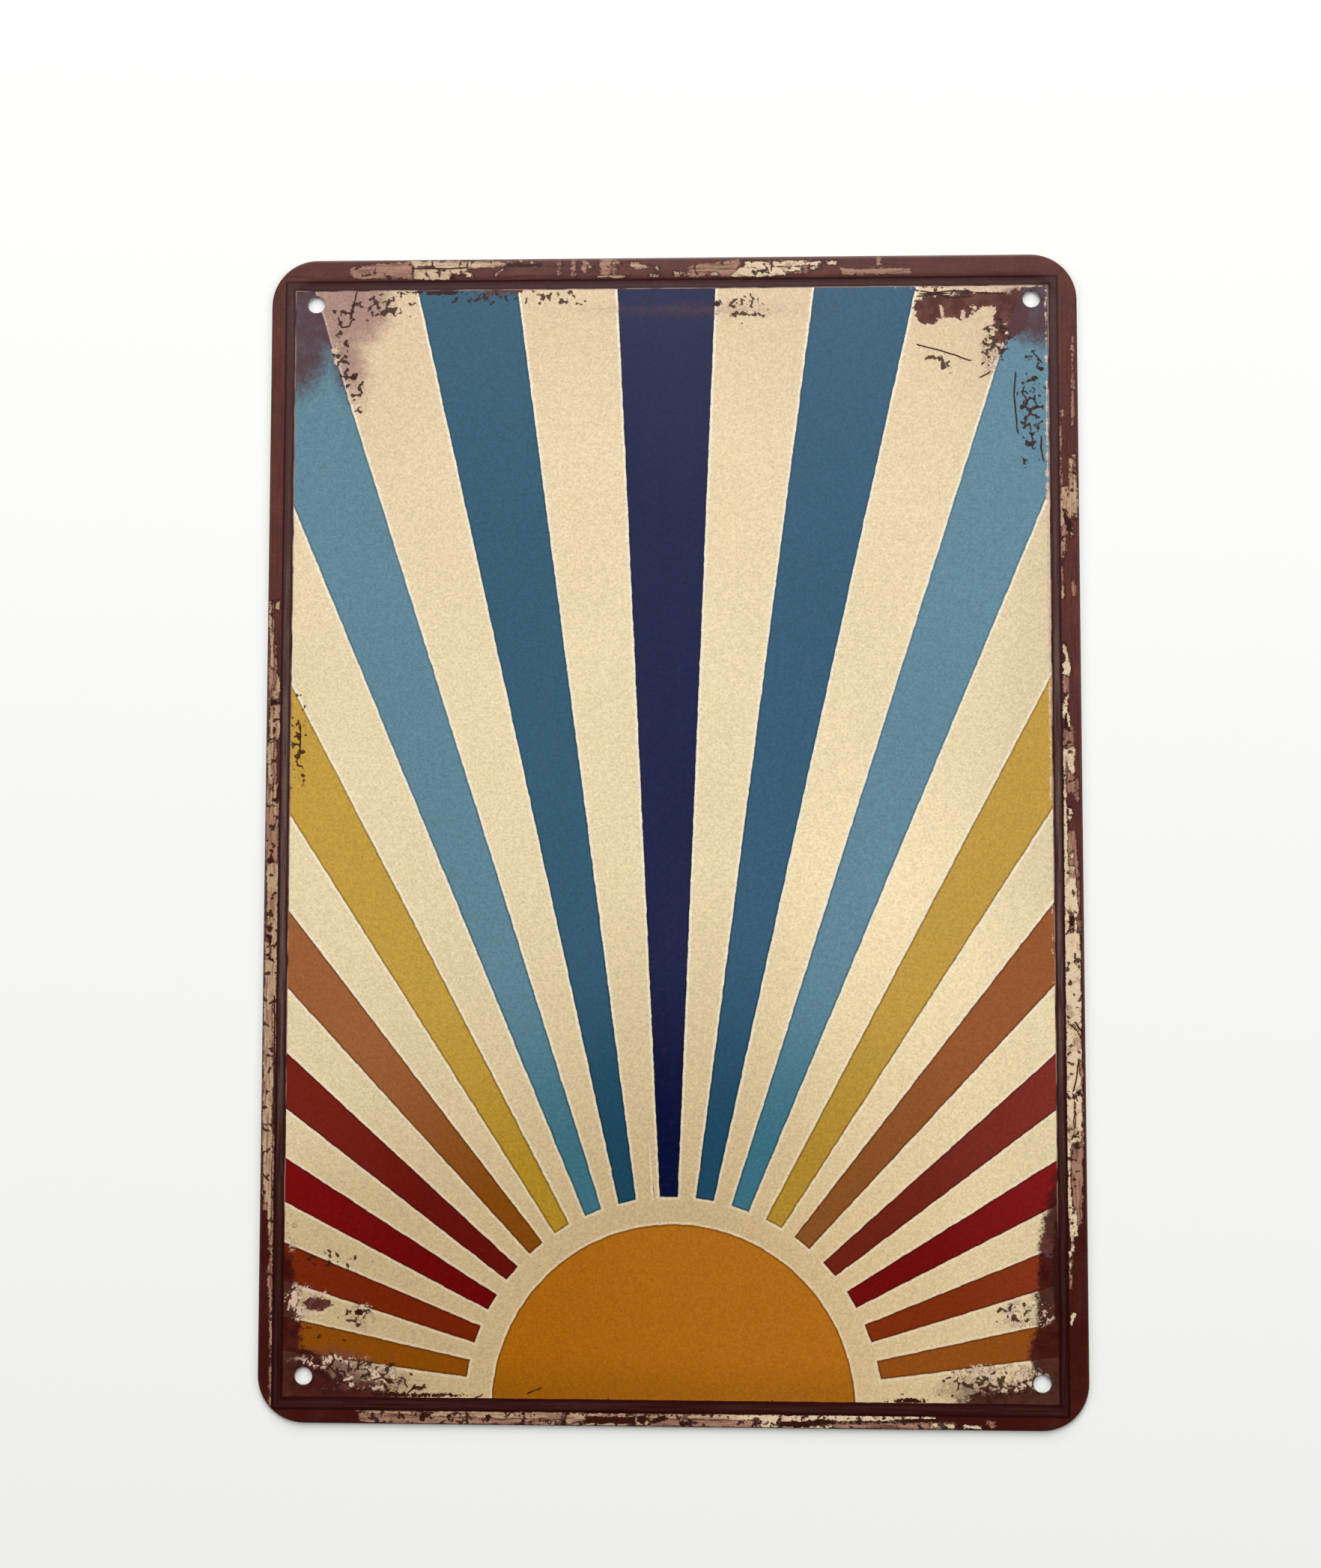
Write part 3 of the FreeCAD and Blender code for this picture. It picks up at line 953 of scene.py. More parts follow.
class NodeBench:
    """Places and wires the nodes of one material or node group."""

    def __init__(self, tree: bpy.types.NodeTree) -> None:
        """Works on this node tree."""
        self.tree = tree

    def place(self, kind: str, **options: object) -> bpy.types.Node:
        """Adds a node.

        Args:
            kind: the node's type.
            options: its settings by name.

        Returns:
            The node.
        """
        node = self.tree.nodes.new(kind)
        for name, value in options.items():
            setattr(node, name, value)
        return node

    def feed(self, socket: Socket, value: object) -> None:
        """Links a socket to another, or sets it to a plain value."""
        if isinstance(value, bpy.types.NodeSocket):
            self.tree.links.new(value, socket)
        else:
            socket.default_value = value

    def math(self, operation: str, *values: object) -> Socket:
        """One step of arithmetic on numbers."""
        node = self.place("ShaderNodeMath", operation=operation)
        for socket, value in zip(node.inputs, values):
            self.feed(socket, value)
        return node.outputs[0]

    def times(self, first: object, *others: object) -> Socket:
        """The product of numbers."""
        for other in others:
            first = self.math("MULTIPLY", first, other)
        return first

    def minus(self, first: object, second: object) -> Socket:
        """One number less another."""
        return self.math("SUBTRACT", first, second)

    def greatest(self, first: object, second: object) -> Socket:
        """The greater of two numbers."""
        return self.math("MAXIMUM", first, second)

    def vector(self, operation: str, *values: object) -> Socket:
        """One step of arithmetic on vectors, whose length comes out as a number."""
        node = self.place("ShaderNodeVectorMath", operation=operation)
        for socket, value in zip(node.inputs, values):
            self.feed(socket, value)
        return node.outputs["Value" if operation == "LENGTH" else "Vector"]

    def split(self, vector: Socket) -> tuple[Socket, Socket, Socket]:
        """The three parts of a vector."""
        node = self.place("ShaderNodeSeparateXYZ")
        self.feed(node.inputs[0], vector)
        return tuple(node.outputs)

    def join(self, x: object, y: object, z: object = 0.0) -> Socket:
        """A vector from its parts."""
        node = self.place("ShaderNodeCombineXYZ")
        for socket, value in zip(node.inputs, (x, y, z)):
            self.feed(socket, value)
        return node.outputs[0]

    def ease(
        self, value: object, start: float, end: float, low: float = 0.0, high: float = 1.0
    ) -> Socket:
        """A smooth step from low, at start, to high, at end."""
        node = self.place("ShaderNodeMapRange", interpolation_type="SMOOTHSTEP")
        for socket, number in zip(node.inputs, (value, start, end, low, high)):
            self.feed(socket, number)
        return node.outputs[0]

    def ridge(self, value: object, foot: float, top: float, far_top: float, far_foot: float) -> Socket:
        """1 from top to far_top, with smooth steps down to 0 at both feet."""
        return self.times(self.ease(value, foot, top), self.ease(value, far_foot, far_top))

    def mix(self, share: object, first: object, second: object, blend: str = "MIX") -> Socket:
        """Mixes two colours."""
        node = self.place("ShaderNodeMix", data_type="RGBA", blend_type=blend)
        for socket, value in zip((node.inputs[0], *node.inputs[6:8]), (share, first, second)):
            self.feed(socket, value)
        return node.outputs[2]

    def choose(self, share: object, first: object, second: object) -> Socket:
        """Mixes two numbers."""
        node = self.place("ShaderNodeMix", data_type="FLOAT")
        for socket, value in zip((node.inputs[0], *node.inputs[2:4]), (share, first, second)):
            self.feed(socket, value)
        return node.outputs[0]

    def tint(self, colour: object, tint: object) -> Socket:
        """A colour times another."""
        return self.mix(1.0, colour, tint, "MULTIPLY")

    def dim(self, colour: object, share: Socket) -> Socket:
        """A colour times a number."""
        return self.tint(colour, self.join(share, share, share))

    def ramp(
        self, share: object, stops: tuple[tuple[float, Colour], ...], stepped: bool = False
    ) -> Socket:
        """A colour read along a row of stops.

        Args:
            share: where it is read, from 0 to 1.
            stops: places and their colours.
            stepped: True if each colour holds until the next stop.

        Returns:
            The colour.
        """
        node = self.place("ShaderNodeValToRGB")
        ramp = node.color_ramp
        ramp.interpolation = "CONSTANT" if stepped else "LINEAR"
        while len(ramp.elements) < len(stops):
            ramp.elements.new(1.0)
        for element, (place, colour) in zip(ramp.elements, stops):
            element.position = place
            element.color = colour
        self.feed(node.inputs[0], share)
        return node.outputs[0]

    def noise(self, place: Socket, size: float, detail: float = 2.0, roughness: float = 0.5) -> Socket:
        """Soft noise about 0.5.

        Args:
            place: where it is read, in mm.
            size: the size of its features in mm.
            detail: how many finer layers it has.
            roughness: how strong they are.

        Returns:
            The noise.
        """
        node = self.place("ShaderNodeTexNoise")
        values = {"Vector": place, "Scale": 1 / size, "Detail": detail, "Roughness": roughness}
        for name, value in values.items():
            self.feed(node.inputs[name], value)
        return node.outputs[0]

    def stir(self, place: Socket, size: float, detail: float = 2.0, roughness: float = 0.5) -> Socket:
        """Soft noise about 0, with the settings of noise."""
        return self.minus(self.noise(place, size, detail, roughness), 0.5)

    def wear(self, kind: Wear) -> Socket:
        """The depth of one kind of wear, kept at the mesh's points."""
        return self.place("ShaderNodeAttribute", attribute_name=kind.value).outputs["Fac"]

    def position(self) -> Socket:
        """The place on the piece, in mm."""
        node = self.place("ShaderNodeTexCoord")
        return self.vector("MULTIPLY", node.outputs["Object"], (1 / MM, 1 / MM, 1 / MM))

    def use(self, group: bpy.types.NodeTree, **values: object) -> dict[str, Socket]:
        """Places a node group.

        Args:
            group: the group.
            values: what its inputs take.

        Returns:
            Its outputs by name.
        """
        node = self.place("ShaderNodeGroup", node_tree=group)
        for name, value in values.items():
            self.feed(node.inputs[name], value)
        return {socket.name: socket for socket in node.outputs}


class GroupBench(NodeBench):
    """The bench of one node group, with its inputs and outputs by name."""

    def __init__(self, name: str, inputs: dict[str, str], outputs: dict[str, str]) -> None:
        """Makes the group.

        Args:
            name: the group's name.
            inputs, outputs: the sort of each socket, Float, Color or Vector, by its name.
        """
        tree = bpy.data.node_groups.new(name, "ShaderNodeTree")
        super().__init__(tree)
        for in_out, sockets in (("INPUT", inputs), ("OUTPUT", outputs)):
            for socket, sort in sockets.items():
                tree.interface.new_socket(socket, in_out=in_out, socket_type="NodeSocket" + sort)
        entry = self.place("NodeGroupInput")
        self.given = {socket.name: socket for socket in entry.outputs if socket.name}
        self.exit = self.place("NodeGroupOutput")

    def give(self, **values: object) -> bpy.types.NodeTree:
        """Sets what the group puts out.

        Args:
            values: its outputs by name.

        Returns:
            The finished group.
        """
        for name, value in values.items():
            self.feed(self.exit.inputs[name], value)
        return self.tree


def ragged_edge() -> bpy.types.NodeTree:
    """A node group that turns a depth into a mask with a torn edge.

    The edge is moved by coarse and fine noise times the rag and fades over twice the softness,
    both in mm. Ring is a thin line just outside it.
    """
    inputs = {"Place": "Vector", "Depth": "Float", "Rag": "Float", "Seed": "Float", "Soft": "Float"}
    bench = GroupBench("ragged_edge", inputs, {"Mask": "Float", "Ring": "Float"})
    given = bench.given
    seed = given["Seed"]
    place = bench.vector("ADD", given["Place"], bench.join(seed, seed, seed))
    coarse = bench.stir(place, 1.9, 2.0, 0.6)
    torn = bench.math("MULTIPLY_ADD", bench.stir(place, 0.55, 1.0), 0.55, coarse)
    depth = bench.math("MULTIPLY_ADD", torn, given["Rag"], given["Depth"])
    share = bench.math("DIVIDE", depth, given["Soft"])
    return bench.give(
        Mask=bench.ease(share, -1.0, 1.0),
        Ring=bench.ridge(depth, -0.42, -0.20, -0.08, 0.10),
    )


def broken_strokes() -> bpy.types.NodeTree:
    """A node group for short bent strokes, as print shows where it starts to flake.

    They are parts of the walls between bent cells, and the amount, 0 to 1, says how many show.
    """
    bench = GroupBench("broken_strokes", {"Place": "Vector", "Amount": "Float"}, {"Mask": "Float"})
    place, amount = bench.given["Place"], bench.given["Amount"]
    other = bench.vector("ADD", place, (37.0, 11.0, 5.0))
    bend = bench.join(bench.noise(place, 1.7), bench.noise(other, 1.7))
    bent = bench.vector("ADD", place, bench.vector("MULTIPLY", bend, (2.4, 2.4, 0.0)))
    cells = bench.place("ShaderNodeTexVoronoi", feature="DISTANCE_TO_EDGE")
    bench.feed(cells.inputs["Vector"], bent)
    bench.feed(cells.inputs["Scale"], 0.42)
    wall = bench.ease(cells.outputs["Distance"], 0.18, 0.10)
    least = bench.math("MULTIPLY_ADD", amount, -0.20, 0.67)
    shown = bench.minus(bench.noise(other, 1.9, 1.0), least)
    return bench.give(Mask=bench.times(wall, bench.ease(shown, -0.015, 0.02)))


def print_grain() -> bpy.types.NodeTree:
    """A node group for the print's fine mottle and slow drift of tone."""
    bench = GroupBench("print_grain", {"Place": "Vector", "Color": "Color"}, {"Color": "Color"})
    place = bench.given["Place"]
    mottle = bench.noise(place, 0.62, 2.0, 0.65)
    drift = bench.noise(place, 38.0, 1.0)
    fine = bench.math("MULTIPLY_ADD", mottle, 0.80, 0.60)
    slow = bench.math("MULTIPLY_ADD", drift, 0.10, 0.95)
    return bench.give(Color=bench.dim(bench.given["Color"], bench.times(fine, slow)))


def rolled_sheet() -> bpy.types.NodeTree:
    """A node group for rolled sheet: a fine peel, faint lines from the rolls, uneven gloss."""
    bench = GroupBench("rolled_sheet", {"Place": "Vector"}, {"Height": "Float", "Gloss": "Float"})
    place = bench.given["Place"]
    peel = bench.noise(place, 0.7, 2.0, 0.6)
    rolls = bench.noise(bench.vector("MULTIPLY", place, (1.0, 0.02, 1.0)), 0.5, 1.0)
    drawn = bench.vector("MULTIPLY", place, (1.0, 0.12, 1.0))
    return bench.give(
        Height=bench.math("MULTIPLY_ADD", rolls, 0.35, peel),
        Gloss=bench.stir(drawn, 9.0, 4.0, 0.6),
    )


@dataclass(frozen=True)
class RayFan:
    """Rays whose straight edges aim at one point and are evenly turned from each other.

    The fan reaches up to one angle about the sun's centre; aim is in mm from that centre, and edge
    number k lies at first + k x pitch degrees.
    """

    until: float
    aim: tuple[float, float]
    first: float
    pitch: float


@dataclass(frozen=True)
class SunPicture:
    """The picture's half-sun and rays on their cream ground."""

    centre: tuple[float, float] = (0.63, -145.39)
    sun_radius: float = 45.9
    ray_start: float = 52.7
    last_edge: int = 33
    past_last_edge: float = 0.7
    fans: tuple[RayFan, ...] = (
        RayFan(44.4, (-2.90, 0.22), 7.71, 4.869),
        RayFan(54.5, (-2.68, 0.30), 6.18, 5.09),
        RayFan(95.2, (-0.93, 1.37), 5.746, 5.1193),
        RayFan(125.4, (-2.59, 0.96), 6.242, 5.077),
        RayFan(180.0, (-1.39, 0.74), 9.555, 4.943),
    )
    rays_near: tuple[Colour, ...] = inks(
        (146, 78, 20), (127, 45, 8), (111, 6, 4), (110, 32, 16), (137, 80, 34), (177, 137, 46),
        (58, 112, 129), (27, 71, 96), (0, 10, 52), (26, 70, 93), (62, 112, 125), (176, 136, 36),
        (130, 70, 6), (98, 10, 0), (106, 0, 0), (116, 32, 0), (138, 74, 0),
    )
    rays_far: tuple[Colour, ...] = inks(
        (138, 70, 20), (138, 55, 28), (128, 22, 22), (126, 45, 34), (153, 89, 48), (195, 156, 70),
        (100, 138, 155), (57, 95, 119), (33, 38, 73), (54, 93, 114), (98, 135, 150), (196, 157, 66),
        (157, 96, 54), (117, 30, 16), (121, 4, 4), (120, 36, 0), (137, 69, 4),
    )
    cream: tuple[tuple[float, Colour], ...] = (
        (0.16, ink(204, 178, 134)),
        (0.24, ink(212, 188, 146)),
        (0.33, ink(223, 202, 160)),
        (0.46, ink(236, 216, 174)),
        (0.65, ink(238, 218, 178)),
        (0.82, ink(234, 213, 174)),
        (0.95, ink(225, 199, 164)),
    )
    sun_shaded: Colour = ink(168, 99, 4)
    sun_lit: Colour = ink(181, 109, 22)
    keyline: Colour = ink(244, 234, 212)
    keyline_depth: Ridge = (-0.74, -0.50, -0.14, 0.0)
    outline_tint: Colour = (0.30, 0.28, 0.30, 1.0)
    outline_depth: Ridge = (-0.04, 0.10, 0.28, 0.60)
    corner_tint: Colour = (0.84, 0.79, 0.72, 1.0)
    edge_wobble: float = 0.62
    reach: float = 300.0

    def fan_values(self, bench: NodeBench, angle: Socket) -> tuple[Socket, Socket, Socket, Socket]:
        """Picks the fan that a place belongs to.

        Args:
            bench: where the nodes go.
            angle: the place's angle about the sun's centre, in degrees.

        Returns:
            The fan's aim point, first angle and pitch.
        """
        values = [*self.fans[0].aim, self.fans[0].first, self.fans[0].pitch]
        for before, fan in zip(self.fans, self.fans[1:]):
            past = bench.math("GREATER_THAN", angle, before.until)
            own = (*fan.aim, fan.first, fan.pitch)
            values = [bench.choose(past, value, number) for value, number in zip(values, own)]
        return tuple(values)

    def ray(self, bench: NodeBench, across: Socket, up: Socket, radius: Socket) -> tuple[Socket, Socket]:
        """Finds the ray that a place is on, and how deep it is inside it.

        The depth is the lesser of the distance to the ray's sides and to its squared inner end.

        Args:
            bench: where the nodes go.
            across, up: the place from the sun's centre.
            radius: its distance from there.

        Returns:
            The ray's number and the depth.
        """
        degrees = 180 / math.pi
        angle = bench.times(bench.math("ARCTAN2", up, across), degrees)
        aim_x, aim_y, first, pitch = self.fan_values(bench, angle)
        from_aim = bench.join(bench.minus(across, aim_x), bench.minus(up, aim_y))
        aimed_x, aimed_y, _ = bench.split(from_aim)
        aimed = bench.times(bench.math("ARCTAN2", aimed_y, aimed_x), degrees)
        edge = bench.math("DIVIDE", bench.minus(aimed, first), pitch)
        edge = bench.greatest(edge, -self.past_last_edge)
        edge = bench.math("MINIMUM", edge, self.last_edge + self.past_last_edge)
        number = bench.math("FLOOR", bench.times(edge, 0.5))
        turn = bench.minus(bench.math("FRACT", bench.math("MULTIPLY_ADD", edge, 0.5, 0.25)), 0.5)
        double_pitch = bench.times(pitch, 2 / degrees)
        to_side = bench.minus(0.25, bench.math("ABSOLUTE", turn))
        to_side = bench.times(to_side, double_pitch, bench.vector("LENGTH", from_aim))
        swing = bench.math("COSINE", bench.times(turn, double_pitch))
        to_end = bench.minus(bench.times(radius, swing), self.ray_start)
        return number, bench.math("MINIMUM", to_side, to_end)

    def ray_colour(self, bench: NodeBench, number: Socket, radius: Socket) -> Socket:
        """The colour of a ray by its number, paler outwards.

        Args:
            bench: where the nodes go.
            number: the ray's number, from the right.
            radius: the distance from the sun's centre.

        Returns:
            The colour.
        """
        share = bench.math("DIVIDE", bench.math("ADD", number, 0.5), len(self.rays_near))
        near, far = (
            bench.ramp(share, tuple((k / len(row), colour) for k, colour in enumerate(row)), stepped=True)
            for row in (self.rays_near, self.rays_far)
        )
        return bench.mix(bench.ease(radius, 64.0, 124.0), near, far)

    def sun_colour(self, bench: NodeBench, across: Socket, up: Socket) -> Socket:
        """The sun's colour, lighter to its upper right and darker along its foot.

        Args:
            bench: where the nodes go.
            across, up: the place from the sun's centre.

        Returns:
            The colour.
        """
        lit = bench.math("MULTIPLY_ADD", up, 0.35, bench.times(across, 0.5))
        colour = bench.mix(bench.ease(lit, -24.0, 30.0), self.sun_shaded, self.sun_lit)
        return bench.dim(colour, bench.ease(up, 1.5, 14.0, 0.80, 1.0))

    def ground(self, bench: NodeBench, x: Socket, y: Socket, radius: Socket) -> Socket:
        """The cream ground: it changes outwards, has painted light that brightens it on the right and
        dims it a little on the left, is darker near the right edge and browns in a corner.

        Args:
            bench: where the nodes go.
            x, y: the place on the sheet.
            radius: its distance from the sun's centre.

        Returns:
            The ground's colour.
        """
        colour = bench.ramp(bench.math("DIVIDE", radius, self.reach), self.cream)
        # Painted light: the ground is brightened on the right and dimmed a little on the left, as if lit
        # from the upper right; it is also darker near the right edge
        painted_light_right = bench.times(bench.ease(x, 6.0, 50.0), bench.ease(radius, 190.0, 130.0))
        light = bench.math("ADD", bench.ease(x, -20.0, -90.0, 1.0, 0.97), bench.times(painted_light_right, 0.14))
        colour = bench.dim(colour, bench.times(light, bench.ease(x, 70.0, 98.0, 1.0, 0.88)))
        corner = bench.times(bench.ease(x, -36.0, -92.0), bench.ease(y, -66.0, -104.0))
        return bench.mix(corner, colour, bench.tint(colour, self.corner_tint))

    def group(self) -> bpy.types.NodeTree:
        """The picture as a node group: the sun and the rays over their ground.

        Returns:
            The group. Paint is 1 on the sun and the rays.
        """
        outputs = {"Color": "Color", "Paint": "Float"}
        bench = GroupBench("sun_and_rays", {"Place": "Vector"}, outputs)
        x, y, _ = bench.split(bench.given["Place"])
        flat = bench.join(x, y)
        across, up, _ = bench.split(bench.vector("SUBTRACT", flat, (*self.centre, 0.0)))
        radius = bench.vector("LENGTH", bench.join(across, up))
        number, in_ray = self.ray(bench, across, up, radius)
        in_sun = bench.minus(self.sun_radius, radius)
        wobble = bench.stir(flat, 3.4, 3.0, 0.62)
        depth = bench.math("MULTIPLY_ADD", wobble, self.edge_wobble, bench.greatest(in_ray, in_sun))

        ray_colour = self.ray_colour(bench, number, radius)
        sun_colour = self.sun_colour(bench, across, up)
        paint = bench.mix(bench.math("GREATER_THAN", in_sun, -2.0), ray_colour, sun_colour)
        outline = bench.ridge(depth, *self.outline_depth)
        outline = bench.times(outline, bench.ease(y, -60.0, 60.0, 0.7, 0.45))
        paint = bench.mix(outline, paint, bench.tint(paint, self.outline_tint))
        keyline = bench.ridge(depth, *self.keyline_depth)
        keyline = bench.times(keyline, bench.ease(y, -120.0, 0.0, 0.32, 0.9))
        ground = bench.mix(keyline, self.ground(bench, x, y, radius), self.keyline)
        painted = bench.ease(depth, -0.12, 0.12)
        return bench.give(Color=bench.mix(painted, ground, paint), Paint=painted)


@dataclass(frozen=True)
class DarkBorder:
    """The printed border: a dark band round the picture, and the rim outside it."""

    picture_centre: tuple[float, float] = (-0.55, -0.80)
    picture_half: tuple[float, float] = (97.95, 142.50)
    band_centre: tuple[float, float] = (-0.65, -1.10)
    band_half: tuple[float, float] = (100.75, 145.50)
    rim_low: Colour = ink(64, 15, 9)
    # the rim's colour at the top, lightened by painted sheen of the light from above
    rim_top_sheen: Colour = ink(90, 48, 44)
    rim_rusty: Colour = ink(102, 56, 46)
    rim_dark: Colour = ink(58, 18, 16)
    band_low: Colour = ink(46, 6, 4)
    # the band's colour at the top, lightened by painted sheen of the light from above
    band_top_sheen: Colour = ink(72, 40, 40)
    band_grey: Colour = ink(106, 90, 79)
    band_line: Colour = ink(34, 5, 4)
    picture_line: Colour = ink(176, 142, 124)
    outer_line_depth: Ridge = (-0.75, -0.3, -0.1, 0.12)
    outer_line_share: float = 0.8
    inner_line_depth: Ridge = (0.1, 0.3, 0.5, 1.0)
    inner_line_share: float = 0.6
    picture_line_depth: Ridge = (-0.12, 0.02, 0.14, 0.34)
    picture_line_share: float = 0.7
    edge_wobble: float = 0.3
    end_shift: float = 40.0

    def past(
        self, bench: NodeBench, place: Socket, centre: tuple[float, float], half: tuple[float, float]
    ) -> Socket:
        """How far a place is outside a rectangle: the greater of its distances past the sides.

        Args:
            bench: where the nodes go.
            place: the place on the sheet.
            centre: the rectangle's middle.
            half: half its width and half its height.

        Returns:
            The distance, below 0 inside.
        """
        offset = bench.vector("ABSOLUTE", bench.vector("SUBTRACT", place, (*centre, 0.0)))
        x, y, _ = bench.split(bench.vector("SUBTRACT", offset, (*half, 0.0)))
        return bench.greatest(x, y)

    def rim(self, bench: NodeBench, place: Socket, y: Socket, streaks: Socket) -> Socket:
        """The rim's colour: paler towards the top with painted sheen of the light from above, with rusty
        clouds and dark streaks.

        Args:
            bench: where the nodes go.
            place: the place on the sheet.
            y: how far it is up the sheet.
            streaks: noise drawn out along the rim.

        Returns:
            The colour.
        """
        # upper lightens the rim towards the top as painted sheen, and also gathers the rust clouds higher
        # up
        upper = bench.ease(y, -110.0, 60.0)
        clouds = bench.noise(place, 11.0, 4.0, 0.62)
        rusty = bench.math("MULTIPLY_ADD", upper, 0.7, 0.2)
        rusty = bench.times(bench.ease(clouds, 0.42, 0.72), rusty)
        colour = bench.mix(upper, self.rim_low, self.rim_top_sheen)
        colour = bench.mix(rusty, colour, self.rim_rusty)
        return bench.mix(bench.times(bench.ease(streaks, 0.50, 0.30), 0.6), colour, self.rim_dark)

    def band(
        self, bench: NodeBench, y: Socket, streaks: Socket, past_picture: Socket, past_band: Socket
    ) -> Socket:
        """The band's colour: lighter towards the top with painted sheen of the light from above, grey
        along its middle, with a dark line near each edge.

        Args:
            bench: where the nodes go.
            y: how far the place is up the sheet.
            streaks: noise drawn out along the rim.
            past_picture, past_band: how far it is outside the picture and the band.

        Returns:
            The colour.
        """
        middle = bench.times(bench.ease(past_picture, 0.3, 1.2), bench.ease(past_band, -0.4, -1.1))
        grey = bench.ease(bench.math("ABSOLUTE", y), 110.0, 20.0, 0.1, 0.8)
        grey = bench.times(middle, grey, bench.ease(streaks, 0.35, 0.6))
        # Painted sheen: the band is lighter towards the top, where the light falls from above
        colour = bench.mix(bench.ease(y, -140.0, 20.0), self.band_low, self.band_top_sheen)
        colour = bench.mix(grey, colour, self.band_grey)
        outer_line = bench.times(bench.ridge(past_band, *self.outer_line_depth), self.outer_line_share)
        colour = bench.mix(outer_line, colour, self.band_line)
        inner_line = bench.ridge(past_picture, *self.inner_line_depth)
        return bench.mix(bench.times(inner_line, self.inner_line_share), colour, self.band_line)

    def group(self, width: float, height: float) -> bpy.types.NodeTree:
        """The border as a node group.

        Args:
            width, height: the sign's size.

        Returns:
            The group. Border is 1 outside the picture, Rim 1 outside the band. Along runs along the
            rim, in across it, and apart on the two ends.
        """
        outputs = {"Color": "Color", "Border": "Float", "Rim": "Float", "Along": "Vector"}
        bench = GroupBench("dark_border", {"Place": "Vector"}, outputs)
        place = bench.given["Place"]
        x, y, _ = bench.split(place)
        to_side = bench.minus(bench.math("ABSOLUTE", x), width / 2)
        to_end = bench.minus(bench.math("ABSOLUTE", y), height / 2)
        at_end = bench.math("GREATER_THAN", to_end, to_side)
        on_along, on_across = bench.choose(at_end, y, x), bench.choose(at_end, x, y)
        along = bench.join(on_along, on_across, bench.times(at_end, self.end_shift))
        streaks = bench.noise(bench.vector("MULTIPLY", along, (0.05, 1.6, 1.0)), 0.9, 3.0, 0.6)
        wobble = bench.times(bench.stir(place, 4.0, 3.0), self.edge_wobble)
        past_picture = self.past(bench, place, self.picture_centre, self.picture_half)
        past_picture = bench.math("ADD", past_picture, wobble)
        past_band = self.past(bench, place, self.band_centre, self.band_half)
        past_band = bench.math("ADD", past_band, wobble)

        band = self.band(bench, y, streaks, past_picture, past_band)
        rim = self.rim(bench, place, y, streaks)
        colour = bench.mix(bench.ease(past_band, -0.1, 0.1), band, rim)
        line = bench.ridge(past_picture, *self.picture_line_depth)
        broken = bench.ease(bench.noise(place, 14.0, 3.0), 0.40, 0.52)
        line = bench.times(line, broken, bench.ease(y, -104.0, -88.0), self.picture_line_share)
        return bench.give(
            Color=bench.mix(line, colour, self.picture_line),
            Border=bench.ease(past_picture, -0.08, 0.08),
            Rim=bench.ease(past_band, -0.08, 0.08),
            Along=along,
        )


@dataclass(frozen=True)
class Tear:
    """How the edge of worn print is torn: how far, by which noise, and over what width it fades."""

    rag: float
    seed: float
    soft: float


TEARS: dict[Wear, Tear] = {
    Wear.VEILED: Tear(5.0, 3.0, 3.0),
    Wear.SHADED: Tear(3.6, 47.0, 0.9),
    Wear.STAINED: Tear(2.6, 7.0, 0.15),
    Wear.FLAKED: Tear(2.0, 5.0, 0.5),
    Wear.RUBBED: Tear(1.5, 11.0, 0.2),
    Wear.CHIPPED: Tear(1.1, 23.0, 0.1),
    Wear.BLOTTED: Tear(1.5, 31.0, 0.1),
}


@dataclass(frozen=True)
class WornPlace:
    """What every kind of wear reads at a place on the print."""

    bench: NodeBench
    ragged: bpy.types.NodeTree
    place: Socket
    y: Socket
    paint: Socket
    rim: Socket
    inside: Socket
    off_band: Socket
    clouds: Socket
    streaks: Socket

    def torn(self, kind: Wear) -> dict[str, Socket]:
        """Tears the edge of one kind of wear.

        Args:
            kind: the wear.

        Returns:
            Its ragged mask, and the line round it as Ring.
        """
        tear = TEARS[kind]
        values = {"Rag": tear.rag, "Seed": tear.seed, "Soft": tear.soft}
        return self.bench.use(self.ragged, Place=self.place, Depth=self.bench.wear(kind), **values)


